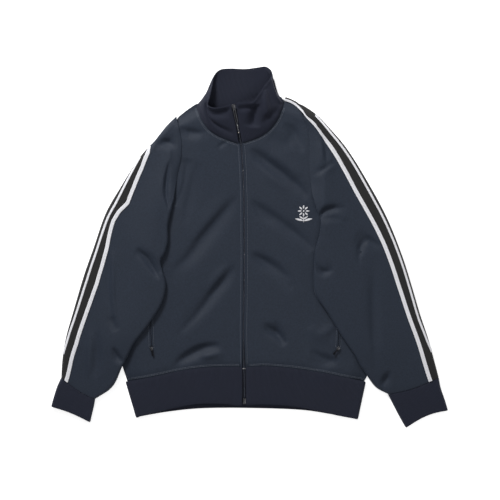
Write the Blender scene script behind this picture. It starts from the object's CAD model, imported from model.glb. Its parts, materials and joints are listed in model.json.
"""Dresses the track jacket that lies zipped up on its back.

+X runs to the wearer's left, +Y towards the collar and +Z up. Tables give places
in millimetres on the laying-out sheet, as the solids' own tables do. Each cloth
piece is a thin wall about a sheet of points that follows its solid, with the
creases of a worn jacket laid into it.
"""

import json
from collections import namedtuple

import bmesh
import bpy
import numpy as np
from mathutils import Matrix, Vector

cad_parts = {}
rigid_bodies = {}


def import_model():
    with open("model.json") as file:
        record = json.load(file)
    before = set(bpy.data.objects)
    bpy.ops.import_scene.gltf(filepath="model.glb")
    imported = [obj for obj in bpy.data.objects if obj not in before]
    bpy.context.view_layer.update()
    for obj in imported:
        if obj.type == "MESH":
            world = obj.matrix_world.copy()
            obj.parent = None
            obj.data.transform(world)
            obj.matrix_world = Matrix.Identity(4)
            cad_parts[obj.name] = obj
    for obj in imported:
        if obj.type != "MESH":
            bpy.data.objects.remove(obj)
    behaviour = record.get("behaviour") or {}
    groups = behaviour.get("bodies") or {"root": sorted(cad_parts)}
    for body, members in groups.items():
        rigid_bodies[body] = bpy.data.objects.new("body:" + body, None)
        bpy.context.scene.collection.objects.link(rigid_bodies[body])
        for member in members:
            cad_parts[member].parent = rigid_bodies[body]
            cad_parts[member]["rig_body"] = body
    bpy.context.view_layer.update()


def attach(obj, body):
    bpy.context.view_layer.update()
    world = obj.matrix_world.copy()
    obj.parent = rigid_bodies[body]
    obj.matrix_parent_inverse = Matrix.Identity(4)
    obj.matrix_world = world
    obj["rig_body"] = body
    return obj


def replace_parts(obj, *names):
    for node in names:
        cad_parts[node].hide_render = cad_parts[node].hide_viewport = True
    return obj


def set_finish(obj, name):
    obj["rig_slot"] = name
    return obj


bl_info = {
    "name": "Track Jacket",
    "version": (1, 0, 0),
    "blender": (4, 5, 0),
    "location": "View3D > Sidebar > Jacket",
    "description": "Dresses a zip track jacket laid flat: cloth, ribs, striped tapes, zips and sewing",
    "category": "Object",
}

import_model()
CLOTH_BODY = "jacket"

NAVY = (0.0166, 0.0240, 0.0400)
NAVY_RIB = (0.0094, 0.0120, 0.0246)
BLACK = (0.013, 0.013, 0.0135)
WHITE = (0.84, 0.84, 0.88)
STEEL = (0.11, 0.112, 0.122)

MILLIMETRE = 0.001
LAY_CENTRE = (-1.0, -1.2)

JERSEY = 1.6
RIB = 2.5
STRIPE_CLOTH = 0.5
BRAID_CLOTH = 0.8
ZIP_CLOTH = 0.7
SEAM_GAP = 0.5
LAP_GAP = 0.6

FRONT_LEVEL = 11.0
EDGE_LEVEL = 3.8
SIDE_ROLL = 45.0
SHOULDER_ROLL = 30.0
ZIP_CALM = 16.0
SLEEVE_CLEARANCE = 3.0
OUTER_FOLD = 12.0
INNER_FOLD = 7.0
FRONT_DROP = 16.0
BACK_DROP = 10.0

TAPE_START = 2.6
TAPE_END = 14.0
TEETH_RISE = 0.2
TAPE_DROP = 0.8
FRONT_TO_TEETH = 1.5
ZIP_FACING = 7.0
TEETH_END_GAP = 0.8
HEM_TUCK = 3.4
HEM_DIP = 2.4
HEM_SHARE = 0.025
TURNING_HEIGHT = 1.3
TURNING_PLACE = 1.6
TURNING_WIDTH = 2.4
EDGE_DIP = 0.7
EDGE_DIP_WIDTH = 1.4
STITCH_DIP = 0.5

STRIPE_WIDTH = 55.0
BRAID_WIDTH = 7.8
MIDDLE_BRAID_WIDTH = 4.3
BRAID_STEP = 24.5
FOLD_RISE_ARC = 4.0
CLOTH_TOUCH = 0.1
BRAID_CROWN = 0.4
CROWN_POWER = 0.6
TAPE_PROBE = 6.0
LEAST_TAPE = 2.0
LEAST_SQUARENESS = 0.5
SHOULDER_LIFT = 2.2
SHOULDER_INWARD = (-0.40, -0.92)
SHOULDER_OVERHANG = 3.0
SHOULDER_CLEAR = 0.4
SHOULDER_OUT = 0.6
FOLD_TIP = 1.5
UNDERARM_STEPS = (5.0, 12.0, 22.0, 36.0)
SLEEVE_SWING = 14.0
SEAM_RISE = 6.6
CUFF_SEAM_BOW = 5.0
CUFF_PUFF = (12.5, 6.5)
CUFF_PUFF_ROW = 10.5
CUFF_PUFF_ROWS = 0.33
ARMHOLE_ROWS = 4.0
SETTLING_ROWS = 0.4

# Both long edges of each sleeve, from the shoulder point (row 0) to the cuff
# seam: its outer fold, its inner fold, the underarm line beneath, and how high
# the upper layer lies beside each fold.
Sleeve = namedtuple("Sleeve", "outer inner under outer_height inner_height")
SLEEVE_LEFT = (
    Sleeve((113.4, 299.8), (142, 83), (258, -20), 12.0, 18.5),
    Sleeve((141, 283), (152, 57), (262, -24), 15.5, 21.0),
    Sleeve((171.8, 251.3), (149, 26), (267, -30), 16.0, 22.0),
    Sleeve((208, 208), (140, -8), (272, -38), 15.5, 22.5),
    Sleeve((247.3, 145.6), (138, -40), (277, -49), 15.0, 22.5),
    Sleeve((290.2, 67), (137, -72), (281, -70), 14.5, 22.5),
    Sleeve((324, -16), (141, -104), (284, -102), 14.5, 22.5),
    Sleeve((346, -85), (166, -141), (280, -146), 14.0, 22.0),
    Sleeve((363, -143), (196, -190), (275, -194), 14.0, 21.5),
    Sleeve((381, -197), (224, -231), (272, -235), 13.5, 20.5),
    Sleeve((393, -240), (249, -272), (284, -275), 12.5, 16.5),
    Sleeve((404, -281), (297, -316), (314, -311), 10.5, 11.0),
)
SLEEVE_RIGHT = (
    Sleeve((-158, 279), (-163, 104), (-280, -35), 12.0, 18.5),
    Sleeve((-178, 259), (-170, 74), (-284, -39), 16.0, 21.5),
    Sleeve((-204, 227), (-176, 45), (-289, -45), 16.0, 22.5),
    Sleeve((-237.2, 188.5), (-176, 14), (-294, -53), 15.5, 22.5),
    Sleeve((-276.5, 127), (-182, -12), (-299, -64), 15.0, 22.5),
    Sleeve((-309, 69.5), (-192, -35), (-303, -82), 14.5, 22.5),
    Sleeve((-334.2, -2.3), (-181, -81), (-305, -108), 14.5, 22.5),
    Sleeve((-355.5, -63), (-191, -124), (-302, -142), 14.0, 22.0),
    Sleeve((-376, -132.5), (-221, -171), (-296, -186), 14.0, 21.5),
    Sleeve((-393, -192.5), (-249, -207), (-292, -220), 13.5, 20.5),
    Sleeve((-401, -238), (-273.5, -252.5), (-304, -259), 12.5, 16.5),
    Sleeve((-404, -281), (-333, -326), (-348, -313), 10.5, 11.0),
)

# The armhole seam in three runs: over the front, under the folded sleeve to
# the underarm, and up the back to the shoulder point again.
Armhole = namedtuple("Armhole", "front hidden back")
ARMHOLE_LEFT = Armhole(
    front=(
        (114, 300), (116, 276), (125, 250), (128, 218), (128, 186), (129, 147), (134, 111), (142, 83),
    ),
    hidden=((142, 83), (164, 56), (192, 24), (224, -2), (258, -20)),
    back=((258, -20), (241, 12), (214, 62), (184, 120), (155, 182), (130, 244), (114, 300)),
)
ARMHOLE_RIGHT = Armhole(
    front=((-158, 279), (-152, 251), (-147, 222), (-148, 190), (-154, 160), (-159, 133), (-163, 104)),
    hidden=((-163, 104), (-180, 57), (-210, 14), (-245, -14), (-280, -35)),
    back=((-280, -35), (-264, -4), (-240, 46), (-216, 101), (-191, 161), (-169, 222), (-158, 279)),
)

# Edges of the two fronts. The neck edge lies under the collar and the armhole
# edge under the sleeve, each by a few millimetres.
Front = namedtuple("Front", "neck armhole hem")
FRONT_LEFT = Front(
    neck=(
        (-17, 227), (14, 238), (34, 252), (51, 270), (61, 290), (66, 306), (68, 316), (88, 309), (110, 297),
    ),
    armhole=(
        (110, 297), (112, 286), (117, 272), (126, 252), (132, 218), (132, 186), (133, 147), (139, 111),
        (146, 86), (167, 59), (195, 27), (227, 1), (259, -18), (265, -55), (267, -98), (269, -162),
        (267, -218), (257, -266), (244, -289),
    ),
    hem=((-9, -258), (32, -256), (86, -260), (150, -269), (194, -278), (244, -289)),
)
FRONT_RIGHT = Front(
    neck=(
        (-24, 226), (-47, 234), (-69, 245), (-87, 260), (-101, 283), (-110, 307), (-129, 298.5),
        (-154, 279.5),
    ),
    armhole=(
        (-154, 278.5), (-154, 264), (-155, 250), (-152, 222), (-153, 190), (-159, 160), (-164, 133),
        (-169, 103), (-184, 60), (-213, 17), (-247, -10), (-281, -33), (-286, -70), (-288, -115),
        (-286, -190), (-279, -240), (-263, -289),
    ),
    hem=((-17, -258), (-43, -257), (-97, -259), (-150, -266), (-215, -280), (-263, -289)),
)

# Edges of the back, from the right shoulder point round to the left one.
BACK_TOP = (
    (-156, 279), (-134, 296), (-113, 307), (-75, 303), (-19, 301), (32, 306), (68, 317), (88, 310),
    (112, 297),
)
BACK_RIGHT = (
    (-156, 276), (-171, 224), (-194, 162), (-219, 102), (-243, 47), (-267, -3), (-280, -33),
    (-286, -70), (-288, -115), (-286, -190), (-279, -240), (-263, -289),
)
BACK_LEFT = (
    (112, 297), (132, 245), (158, 183), (187, 121), (217, 63), (244, 13), (258, -18),
    (265, -55), (267, -98), (269, -162), (267, -218), (257, -266), (244, -289),
)
BACK_HEM = ((-263, -289), (-183, -275), (-108, -265), (-11, -262), (108, -267), (183, -278), (244, -289))

# How wide the body lies at each height of the sheet, and the shoulder line.
Width = namedtuple("Width", "y right left")
BODY_WIDTH = (
    Width(-370, -243, 230),
    Width(-289, -263, 244),
    Width(-266, -273, 257),
    Width(-218, -283, 267),
    Width(-162, -287, 269),
    Width(-98, -288, 267),
    Width(-25, -281, 260),
    Width(20, -330, 310),
    Width(60, -400, 400),
)
SHOULDER_X = (-157, -110, -85, 45, 67, 114)
SHOULDER_Y = (279, 304, 400, 400, 319, 300)

# The collar, a row for each section from the zip round the back of the neck
# to the zip again: foot, middle and rim. A foot's layer is the panel below it.
Collar = namedtuple("Collar", "layer foot middle rim")
COLLAR = (
    Collar("front", (-24.5, 222), (-32.5, 266, 23), (-42, 303, 31)),
    Collar("front", (-49, 230), (-59, 268, 24), (-60, 298, 31)),
    Collar("front", (-73, 241), (-82, 273, 24), (-77, 296, 30)),
    Collar("front", (-92, 256), (-96, 286, 22), (-89, 302, 27)),
    Collar("front", (-107, 281), (-101, 306, 18), (-85, 319, 24)),
    Collar("edge", (-113, 302), (-94, 329, 13), (-80, 343, 19)),
    Collar("back", (-97, 299), (-87, 341, 8.5), (-76, 365, 14.5)),
    Collar("back", (-76, 297), (-75, 345, 6), (-64, 379, 10)),
    Collar("back", (-49, 296), (-43, 343, 4.5), (-41, 382, 7.5)),
    Collar("back", (-19, 295), (-11, 343, 4.5), (-11, 381, 7)),
    Collar("back", (13, 297), (17, 343, 4.5), (15, 384, 7.5)),
    Collar("back", (37, 301), (37, 347, 5.5), (33, 386, 9)),
    Collar("back", (54, 308), (50, 351, 8), (44, 379, 12.5)),
    Collar("edge", (69, 317), (57, 335, 12), (46, 367, 18)),
    Collar("front", (70.5, 305), (53, 321, 19), (41, 357, 22)),
    Collar("front", (66, 291), (45, 309, 23), (31, 344, 26)),
    Collar("front", (56, 269), (33, 290, 25), (19, 326, 29.5)),
    Collar("front", (37, 247), (16, 276, 25), (6, 309, 31)),
    Collar("front", (13, 233), (-2, 269, 24), (-11, 308, 32)),
    Collar("front", (-17, 223), (-24, 265, 23), (-29.5, 306, 32)),
)

# The zip's centre line, from the hem to the collar rim, and the height of the
# underside of the cloth beside it.
Zip = namedtuple("Zip", "x y under")
ZIP_LINE = (
    Zip(-12, -338, 8.8),
    Zip(-12, -298, 8.8),
    Zip(-13, -257, 8.9),
    Zip(-14, -180, 9.4),
    Zip(-12, -29, 9.4),
    Zip(-13, 100, 9.4),
    Zip(-15, 164, 9.4),
    Zip(-18, 210, 9.4),
    Zip(-21, 231, 9.6),
    Zip(-24.5, 247, 16.6),
    Zip(-28, 266, 21.5),
    Zip(-32.5, 286, 26.0),
    Zip(-36, 303, 29.8),
)
ZIP_BOX_TOP = -326.0
ZIP_BOX_LENGTH = 12.0
ZIP_BOX_WIDTH = 6.2
ZIP_BOX_HEIGHT = 3.4
SLIDER_PLACE = 11.62
TEETH_START = 0.42
TEETH_STOP = 11.2

# The hem band's four edges, from the wearer's right to the left.
BAND_SEAM_RIGHT = ((-17, -259), (-43, -258), (-97, -260), (-150, -267), (-215, -281), (-266.5, -290))
BAND_SEAM_LEFT = ((-8, -259), (32, -257), (86, -261), (150, -270), (194, -279), (248, -290))
BAND_EDGE_RIGHT = (
    (-17, -340), (-28, -341), (-54, -338), (-108, -337.5), (-161, -346), (-215, -359), (-244, -367),
)
BAND_EDGE_LEFT = ((-8, -340), (22, -339), (75, -341), (129, -349), (183, -361.5), (231, -370.5))
BAND_SEAM_BACK = (
    (248, -290), (183, -279), (108, -268), (-11, -263), (-108, -266), (-183, -276), (-266.5, -290),
)
BAND_EDGE_BACK = (
    (231, -370.5), (183, -362), (108, -351), (-11, -347), (-108, -348), (-183, -356), (-244, -367),
)
BAND_LEVEL = 10.05
BAND_FOLD = 4.4

# Each cuff between the sleeve end and its own edge.
Cuff = namedtuple("Cuff", "outer inner bow level")
CUFF_LEFT = (
    Cuff((404.2, -281.7), (297.1, -316.8), -5, 9.4),
    Cuff((408.5, -304), (308.5, -339), -1, 9.6),
    Cuff((416.5, -327), (321, -363), 4, 9.4),
    Cuff((424, -352), (335.5, -388.5), 7, 9.0),
)
CUFF_RIGHT = (
    Cuff((-404.2, -281.7), (-333.3, -326.7), -5, 9.4),
    Cuff((-413, -301), (-336, -342), -2, 9.6),
    Cuff((-419.5, -321), (-340, -358.5), 2, 9.4),
    Cuff((-426, -344), (-344, -377), 3, 9.0),
)
CUFF_FOLD = 5.0

# How far the striped tape's inner edge lies from the sleeve's outer fold, seen
# from above, at rows of the sleeve table. On the left it starts at the neck.
Tape = namedtuple("Tape", "row reach")
TAPE_LEFT = (
    Tape(0.0, 12), Tape(0.35, 20.5), Tape(0.8, 30.5), Tape(1.1, 39.5), Tape(1.55, 43.5), Tape(2.1, 43),
    Tape(2.95, 43.7), Tape(3.8, 41.5), Tape(4.6, 36.8), Tape(5.6, 30.5), Tape(6.8, 29), Tape(8.3, 25.9),
    Tape(9.2, 24.5), Tape(10.1, 23), Tape(11.0, 20.5),
)
TAPE_RIGHT = (
    Tape(0.0, -24), Tape(1.5, -14), Tape(2.2, -4), Tape(2.45, 12), Tape(3.0, 25), Tape(3.6, 32.2),
    Tape(4.1, 36.2), Tape(4.6, 27.8), Tape(5.0, 25.2), Tape(5.4, 27), Tape(5.8, 30), Tape(6.4, 32.4),
    Tape(7.1, 34), Tape(8.0, 30.4), Tape(8.5, 28.8), Tape(9.3, 26.8), Tape(10.1, 20.6), Tape(11.0, 14.5),
)
# Where the middle braid's centre lies, measured round the cloth from the outer fold.
MIDDLE_LEFT = (
    Tape(0.9, 7), Tape(1.25, 8.6), Tape(2.1, 10.6), Tape(2.95, 11.4), Tape(4.56, 11.2), Tape(5.63, 9),
    Tape(6.8, 8.3), Tape(8.3, 8.4), Tape(9.1, 6), Tape(9.7, 2),
)
MIDDLE_RIGHT = (
    Tape(2.9, 3), Tape(3.3, 6.5), Tape(3.75, 9), Tape(4.1, 10.8), Tape(4.5, 12.4), Tape(5.0, 11.2),
    Tape(5.8, 10.6), Tape(7.1, 11.6), Tape(8.4, 9.2), Tape(9.3, 6), Tape(9.9, 2),
)
# Sleeve rows between which the tape, its inner braid and its middle braid show.
TAPE_ROWS = {
    "left": ((0.0, 11.0), (0.0, 11.0), (0.9, 9.7)),
    "right": ((2.2, 11.0), (2.25, 11.0), (2.9, 9.9)),
}
Shoulder = namedtuple("Shoulder", "x y reach")
TAPE_SHOULDER = (Shoulder(76, 320, 7.2), Shoulder(90, 314.6, 6.8), Shoulder(103, 307.2, 7.6))
# How wide the inner braid lies at rows of the left sleeve.
BRAID_LEFT = (Tape(0, 3.6), Tape(0.3, 3.0), Tape(0.6, 4.3), Tape(1.0, 7.6), Tape(1.3, 8.0))

# How low round the outer fold the tape, its inner braid and its middle braid may reach.
STRIP_LOWEST = (-4.0, -2.0, -2.4)


# Soft folds: troughs have a negative depth and ridges a positive one.
class Fold(namedtuple("Fold", "start middle end depth width")):
    @property
    def path(self):
        return self.start, self.middle, self.end


FRONT_FOLDS = (
    Fold((0, 203), (54, 164), (124, 106), -3.4, 15),
    Fold((40, 196), (74, 176), (106, 150), 1.8, 14),
    Fold((46, 240), (78, 222), (106, 270), -2.2, 14),
    Fold((8, 88), (28, 64), (52, 54), -1.6, 9),
    Fold((75, 46), (107, 25), (135, -8), -1.6, 14),
    Fold((6, -14), (44, -46), (92, -92), -2.4, 11),
    Fold((30, -176), (60, -190), (76, -212), -2.4, 10),
    Fold((128, -244), (152, -254), (182, -246), -2.0, 9),
    Fold((130, -172), (148, -192), (170, -194), 2.2, 12),
    Fold((-134, 188), (-145, 150), (-163, 88), -3.2, 11),
    Fold((-135, 246), (-110, 243), (-88, 246), -2.0, 10),
    Fold((-32, 104), (-75, 44), (-168, -76), -1.8, 15),
    Fold((-32, -42), (-70, -88), (-150, -180), -2.4, 12),
    Fold((-156, -254), (-110, -228), (-66, -216), -3.2, 10),
    Fold((-100, -240), (-82, -234), (-58, -238), 2.0, 9),
)
SLEEVE_FOLDS = (
    Fold((131, 240), (144, 200), (148, 168), 2.2, 9),
    Fold((130, 160), (146, 161), (166, 166), -2.6, 8),
    Fold((136, 146), (158, 156), (182, 178), 2.4, 8),
    Fold((148, 56), (160, 74), (188, 82), -3.4, 9),
    Fold((168, 60), (190, 56), (206, 64), 1.8, 9),
    Fold((250, 28), (234, 14), (240, -16), -3.0, 9),
    Fold((152, -52), (164, -50), (176, -42), -2.4, 8),
    Fold((266, -20), (262, -120), (264, -210), -1.8, 13),
    Fold((282, -308), (290, -292), (296, -278), -2.4, 9),
    Fold((-152, 262), (-150, 200), (-170, 110), 3.0, 10),
    Fold((-178, 176), (-179, 150), (-184, 96), -1.2, 8),
    Fold((-204, 216), (-184, 222), (-162, 234), -3.0, 9),
    Fold((-245, -10), (-214, -26), (-192, -60), -3.4, 9),
    Fold((-292, -10), (-294, -90), (-296, -156), 1.4, 10),
    Fold((-296, -150), (-290, -168), (-284, -180), -2.6, 8),
)

# Pocket zips: the top and bottom ends of the slit, and where its pull points.
Pocket = namedtuple("Pocket", "top bottom pull")
POCKET_LEFT = Pocket((196, -74), (189, -219), (-0.62, -0.78))
POCKET_RIGHT = Pocket((-217, -74), (-211, -219), (0.20, -0.98))
POCKET_WIDTH = 7.0
POCKET_ZIP_END = 6.0
POCKET_GAP = 0.75
POCKET_LIFT = 0.55
LIP_CROWN = 0.75
LIP_CLOTH = 0.7
LIP_FINE = (60, 9)
COIL_STITCH = (1.0, 2.6, 1.0)
COIL_PITCH = 1.3

# Sliders and their pull tabs, in their own frame: x to the tab's tip, z up.
Slider = namedtuple("Slider", "length width height clear arch_length arch_width arch_bar")
MAIN_SLIDER = Slider(10.0, 8.0, 4.4, 1.2, 7.0, 1.8, 0.9)
POCKET_SLIDER = Slider(8.0, 6.4, 3.0, 1.0, 5.6, 1.5, 0.7)
Pull = namedtuple("Pull", "length width thickness eye_bar eye_length eye_width tip_drop")
MAIN_PULL = Pull(36.0, 5.6, 1.2, 0.6, 4.2, 3.0, 1.6)
POCKET_PULL = Pull(17.0, 4.6, 1.0, 0.5, 3.4, 2.5, 1.3)

# How finely the cloth is laid out here.
FRONT_FINE = (150, 84)
BACK_FINE = (60, 56)
SLEEVE_FINE = 150
UPPER_STEPS = 52
OUTER_STEPS = 10
INNER_STEPS = 7
TAPE_COLUMNS = 26
COLLAR_FINE = (210, 30)
BAND_FINE = (130, 160, 26)
CUFF_FINE = (30, 60)
ZIP_FINE = 160

FOLD_REACH = 2.6
FOLD_FINE = 5
FOLD_FADING = 0.5

# Creases of a worn jacket, laid on the broad folds: troughs are negative. They are
# steeper on the side towards the collar.
CREASE_LEAN = (-0.42, 0.91)
CREASE_STEEPER = 0.4
CREASE_REACH = 4.0
CREASE_FINE = 6
CREASE_FADING = 1.1
CREASE_END_WIDTH = 0.45
CREASE_GROWTH = 0.55
Crease = namedtuple("Crease", "path depth width")
FRONT_CREASES = (
    Crease(((-4, 207), (14, 200), (32, 186), (54, 170), (75, 154), (107, 126), (133, 93)), -2.8, 12.3),
    Crease(((6, 188), (32, 165), (60, 140), (88, 118)), 1.0, 13.4),
    Crease(((-4, 100), (20, 84), (54, 60), (97, 28), (140, -8)), -2.5, 12.3),
    Crease(((-4, -14), (26, -28), (54, -44), (90, -72)), -2.6, 11.2),
    Crease(((30, -166), (46, -178), (62, -192), (76, -212)), -2.9, 9),
    Crease(((64, -194), (58, -177), (54, -158)), -1.4, 6.7),
    Crease(((129, -222), (150, -236), (172, -243), (192, -246)), -2.3, 10.1),
    Crease(((146, -190), (166, -182), (183, -169)), 1.3, 9),
    Crease(((70, 262), (90, 250), (104, 226), (112, 200)), -1.9, 11.2),
    Crease(((-155, 252), (-130, 246), (-100, 244)), -1.9, 10.1),
    Crease(((-19, 115), (-60, 70), (-100, 22), (-133, -22), (-172, -56)), -2.2, 13.4),
    Crease(((-44, 112), (-85, 62), (-130, 8)), 0.9, 13.4),
    Crease(((-30, -40), (-52, -66), (-75, -93), (-112, -143), (-161, -194)), -2.5, 10.1),
    Crease(((-46, -38), (-68, -66), (-94, -100)), 1.2, 7.8),
    Crease(((-168, -262), (-146, -240), (-118, -222), (-92, -213), (-62, -210)), -3.2, 9),
    Crease(((-110, -240), (-84, -233), (-56, -228)), 1.6, 7.8),
    Crease(((-71, 212), (-60, 220), (-49, 225)), -1.3, 4.5),
    Crease(((-142, 180), (-148, 140), (-158, 100)), 1.3, 6.7),
    Crease(((-112, 184), (-126, 120), (-142, 46)), -1.3, 13.4),
)
SLEEVE_CREASES = (
    Crease(((154, 240), (162, 210), (164, 176)), -1.3, 5.2),
    Crease(((144, 228), (152, 203), (154, 172)), 1.0, 5.2),
    Crease(((131, 148), (146, 157), (162, 168), (182, 184)), -2.0, 7.2),
    Crease(((133, 147), (155, 158), (178, 170)), 1.3, 6.3),
    Crease(((143, 48), (152, 69), (171, 82), (208, 84)), -2.8, 6.6),
    Crease(((146, 50), (164, 61), (190, 59), (214, 50)), -1.5, 6.6),
    Crease(((232, -44), (235, -4), (249, 16), (268, 6), (286, -2)), -2.8, 6.2),
    Crease(((140, -34), (147, -48), (160, -54), (178, -50)), -2.2, 6.2),
    Crease(((262, -60), (264, -120), (266, -200), (268, -272)), -1.7, 10.5),
    Crease(((280, -300), (290, -282), (302, -266)), -2.7, 6.3),
    Crease(((-150, 258), (-146, 215), (-149, 180), (-160, 138)), 1.2, 5.2),
    Crease(((-192, 226), (-173, 222), (-155, 213)), -2.2, 8.4),
    Crease(((-172, 184), (-178, 150), (-180, 115), (-173, 78)), -3.1, 5.2),
    Crease(((-242, -6), (-224, -24), (-207, -48), (-193, -70)), -2.9, 6.8),
    Crease(((-292, -6), (-293, -60), (-292, -115), (-283, -184)), 1.3, 3.7),
    Crease(((-301, -10), (-303, -90), (-296, -182)), -0.8, 7.4),
    Crease(((-340, -176), (-343, -230), (-346, -282)), 1.3, 7.4),
    Crease(((-326, -180), (-328, -235), (-332, -284)), -1.6, 8.4),
    Crease(((-294, -216), (-284, -236), (-269, -248)), -3.1, 6.3),
)
# Creases of the collar: the path runs in millimetres along it from the zip on the
# wearer's right, and up from its foot.
COLLAR_LENGTH = 440.0
COLLAR_HEIGHT = 82.0
COLLAR_CREASES = (
    Crease(((8, 62), (45, 57), (82, 66)), -2.4, 9),
    Crease(((86, 66), (62, 44), (36, 26), (8, 16)), -2.2, 6),
    Crease(((0, 80), (60, 80), (128, 80)), 0.9, 4),
    Crease(((118, 10), (122, 40), (120, 74)), -1.2, 8),
    Crease(((205, 12), (240, 18), (275, 10)), 0.8, 9),
    Crease(((258, 80), (275, 68), (288, 58)), -1.6, 8),
    Crease(((299, 10), (300, 44), (300, 74)), -1.8, 7),
    Crease(((324, 12), (319, 50), (316, 80)), 1.6, 6),
    Crease(((310, 80), (380, 80), (440, 80)), 0.9, 4),
    Crease(((388, 70), (401, 46), (413, 24)), -5.6, 12),
    Crease(((352, 74), (362, 50), (372, 30)), 2.2, 9),
    Crease(((384, 68), (412, 68), (440, 69)), -1.6, 5),
    Crease(((0, 69), (40, 68), (86, 70)), -1.6, 5),
    Crease(((350, 8), (368, 22), (392, 20)), -1.4, 8),
)
# Places on the hidden side where the back is pressed into soft creases.
BACK_CREASES = (
    Crease(((-190, 150), (-90, 120), (20, 135)), -0.5, 14),
    Crease(((-60, 30), (60, -10), (170, -20)), -0.4, 12),
    Crease(((-240, -60), (-140, -100), (-30, -120)), -0.5, 16),
    Crease(((40, -130), (130, -180), (220, -170)), -0.4, 11),
    Crease(((-170, -230), (-60, -210), (50, -235)), -0.5, 10),
)


def settings():
    return bpy.context.scene.jacket_sizes


def colours():
    return bpy.context.scene.jacket_colours


# ---------------------------------------------------------------- points

def ease(value):
    """0 below 0, 1 above 1 and a smooth rise between."""
    value = np.clip(value, 0.0, 1.0)
    return value * value * (3.0 - 2.0 * value)


def flow(rows, places):
    """Values at fractional row numbers, on a smooth curve through a table's rows."""
    rows = np.asarray(rows, float)
    last = len(rows) - 1
    places = np.clip(np.asarray(places, float), 0, last)
    low = np.minimum(places.astype(int), last - 1)
    part = (places - low)[..., None]
    before, start, end, after = (rows[np.clip(low + step, 0, last)] for step in (-1, 0, 1, 2))
    return (
        (2 * part**3 - 3 * part**2 + 1) * start
        + (part**3 - 2 * part**2 + part) * (end - before) / 2
        + (3 * part**2 - 2 * part**3) * end
        + (part**3 - part**2) * (after - start) / 2
    )


def lengths(points):
    """How far each point of a line lies from its first."""
    return np.concatenate([[0.0], np.cumsum(np.linalg.norm(np.diff(points, axis=0), axis=1))])


def at_lengths(wanted, length, points):
    """A line's values where its length has the wanted values."""
    return np.stack([np.interp(wanted, length, points[:, axis]) for axis in range(points.shape[1])], axis=-1)


def along(points, fractions):
    """Points at fractions of the length of a smooth curve through a few points."""
    fine = flow(points, np.linspace(0, len(points) - 1, 16 * len(points)))
    length = lengths(fine)
    return at_lengths(np.asarray(fractions, float) * length[-1], length, fine)


def patch(top, bottom, first, last, across, down):
    """A sheet of points between four edges; first and last run from top to bottom."""
    u, v = across[None, :, None], down[:, None, None]
    top, bottom = along(top, across)[None], along(bottom, across)[None]
    first, last = along(first, down)[:, None], along(last, down)[:, None]
    corners = (
        (1 - u) * (1 - v) * top[:, :1] + u * (1 - v) * top[:, -1:]
        + (1 - u) * v * bottom[:, :1] + u * v * bottom[:, -1:]
    )
    return (1 - v) * top + v * bottom + (1 - u) * first + u * last - corners


def nearest_on(path, spots):
    """Each spot's distance from a path, the share of the path before it and the way to it."""
    nearest, fraction = np.full(len(spots), np.inf), np.zeros(len(spots))
    offset = np.zeros((len(spots), 2))
    for step, (start, end) in enumerate(zip(path[:-1], path[1:])):
        run = end - start
        part = np.clip(((spots - start) @ run) / (run @ run), 0, 1)
        away = spots - start - part[..., None] * run
        distance = np.linalg.norm(away, axis=-1)
        closer = distance < nearest
        nearest = np.where(closer, distance, nearest)
        offset = np.where(closer[:, None], away, offset)
        fraction = np.where(closer, (step + part) / (len(path) - 1), fraction)
    return nearest, fraction, offset


def pressed_in(marks, x, y, reach, fineness, profile):
    """The height that folds or creases add at a place, each within its own reach."""
    total = np.zeros(np.broadcast(x, y).shape)
    place = np.stack(np.broadcast_arrays(x, y), axis=-1)
    for mark in marks:
        path = flow(mark.path, np.linspace(0, len(mark.path) - 1, max(13, fineness * len(mark.path))))
        margin = reach * mark.width
        near = ((place > path.min(0) - margin) & (place < path.max(0) + margin)).all(-1)
        if near.any():
            total[near] += profile(mark, *nearest_on(path, place[near]))
    return total


def relief(folds, x, y):
    """The height that soft folds add at a place: each fades out to its ends."""
    def profile(fold, nearest, fraction, _):
        fade = np.clip(np.sin(np.pi * fraction), 0, 1) ** FOLD_FADING
        return fold.depth * fade * np.exp(-((nearest / fold.width) ** 2))

    return pressed_in(folds, x, y, FOLD_REACH, FOLD_FINE, profile)


def worn(creases, x, y):
    """The same for worn creases: they taper to their ends and lean towards the collar."""
    def profile(crease, nearest, fraction, offset):
        fade = np.clip(np.sin(np.pi * fraction), 0, 1)
        uphill = (offset @ np.array(CREASE_LEAN)) / (nearest + 1.0)
        steeper = 1 + CREASE_STEEPER * np.sign(crease.depth) * uphill
        wide = crease.width * (CREASE_END_WIDTH + CREASE_GROWTH * fade) * steeper
        return crease.depth * fade**CREASE_FADING * np.exp(-((nearest / wide) ** 2))

    return pressed_in(creases, x, y, CREASE_REACH, CREASE_FINE, profile)


def fronts_inside(x, y):
    """How far in from the body's sides and shoulders a place on a front lies, 0 to 1."""
    heights = [row.y for row in BODY_WIDTH]
    left = np.interp(y, heights, [row.left for row in BODY_WIDTH])
    right = np.interp(y, heights, [row.right for row in BODY_WIDTH])
    inside = np.minimum(left - x, x - right)
    below = np.interp(x, SHOULDER_X, SHOULDER_Y) - y
    return ease(inside / SIDE_ROLL) * ease(below / SHOULDER_ROLL)


def zip_distance(x, y):
    return np.abs(x - np.interp(y, [row.y for row in ZIP_LINE], [row.x for row in ZIP_LINE]))


def front_top(x, y):
    """Height of the fronts' outer face with its broad folds."""
    folds = relief(FRONT_FOLDS, x, y) * ease((zip_distance(x, y) - TAPE_END - 2) / ZIP_CALM)
    return EDGE_LEVEL + (FRONT_LEVEL - EDGE_LEVEL + folds) * fronts_inside(x, y)


def front_face(x, y):
    """The same with the worn creases laid into it."""
    calm = ease((zip_distance(x, y) - ZIP_FACING) / ZIP_CALM)
    return front_top(x, y) + settings().crease_depth * worn(FRONT_CREASES, x, y) * calm * fronts_inside(x, y)


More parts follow.
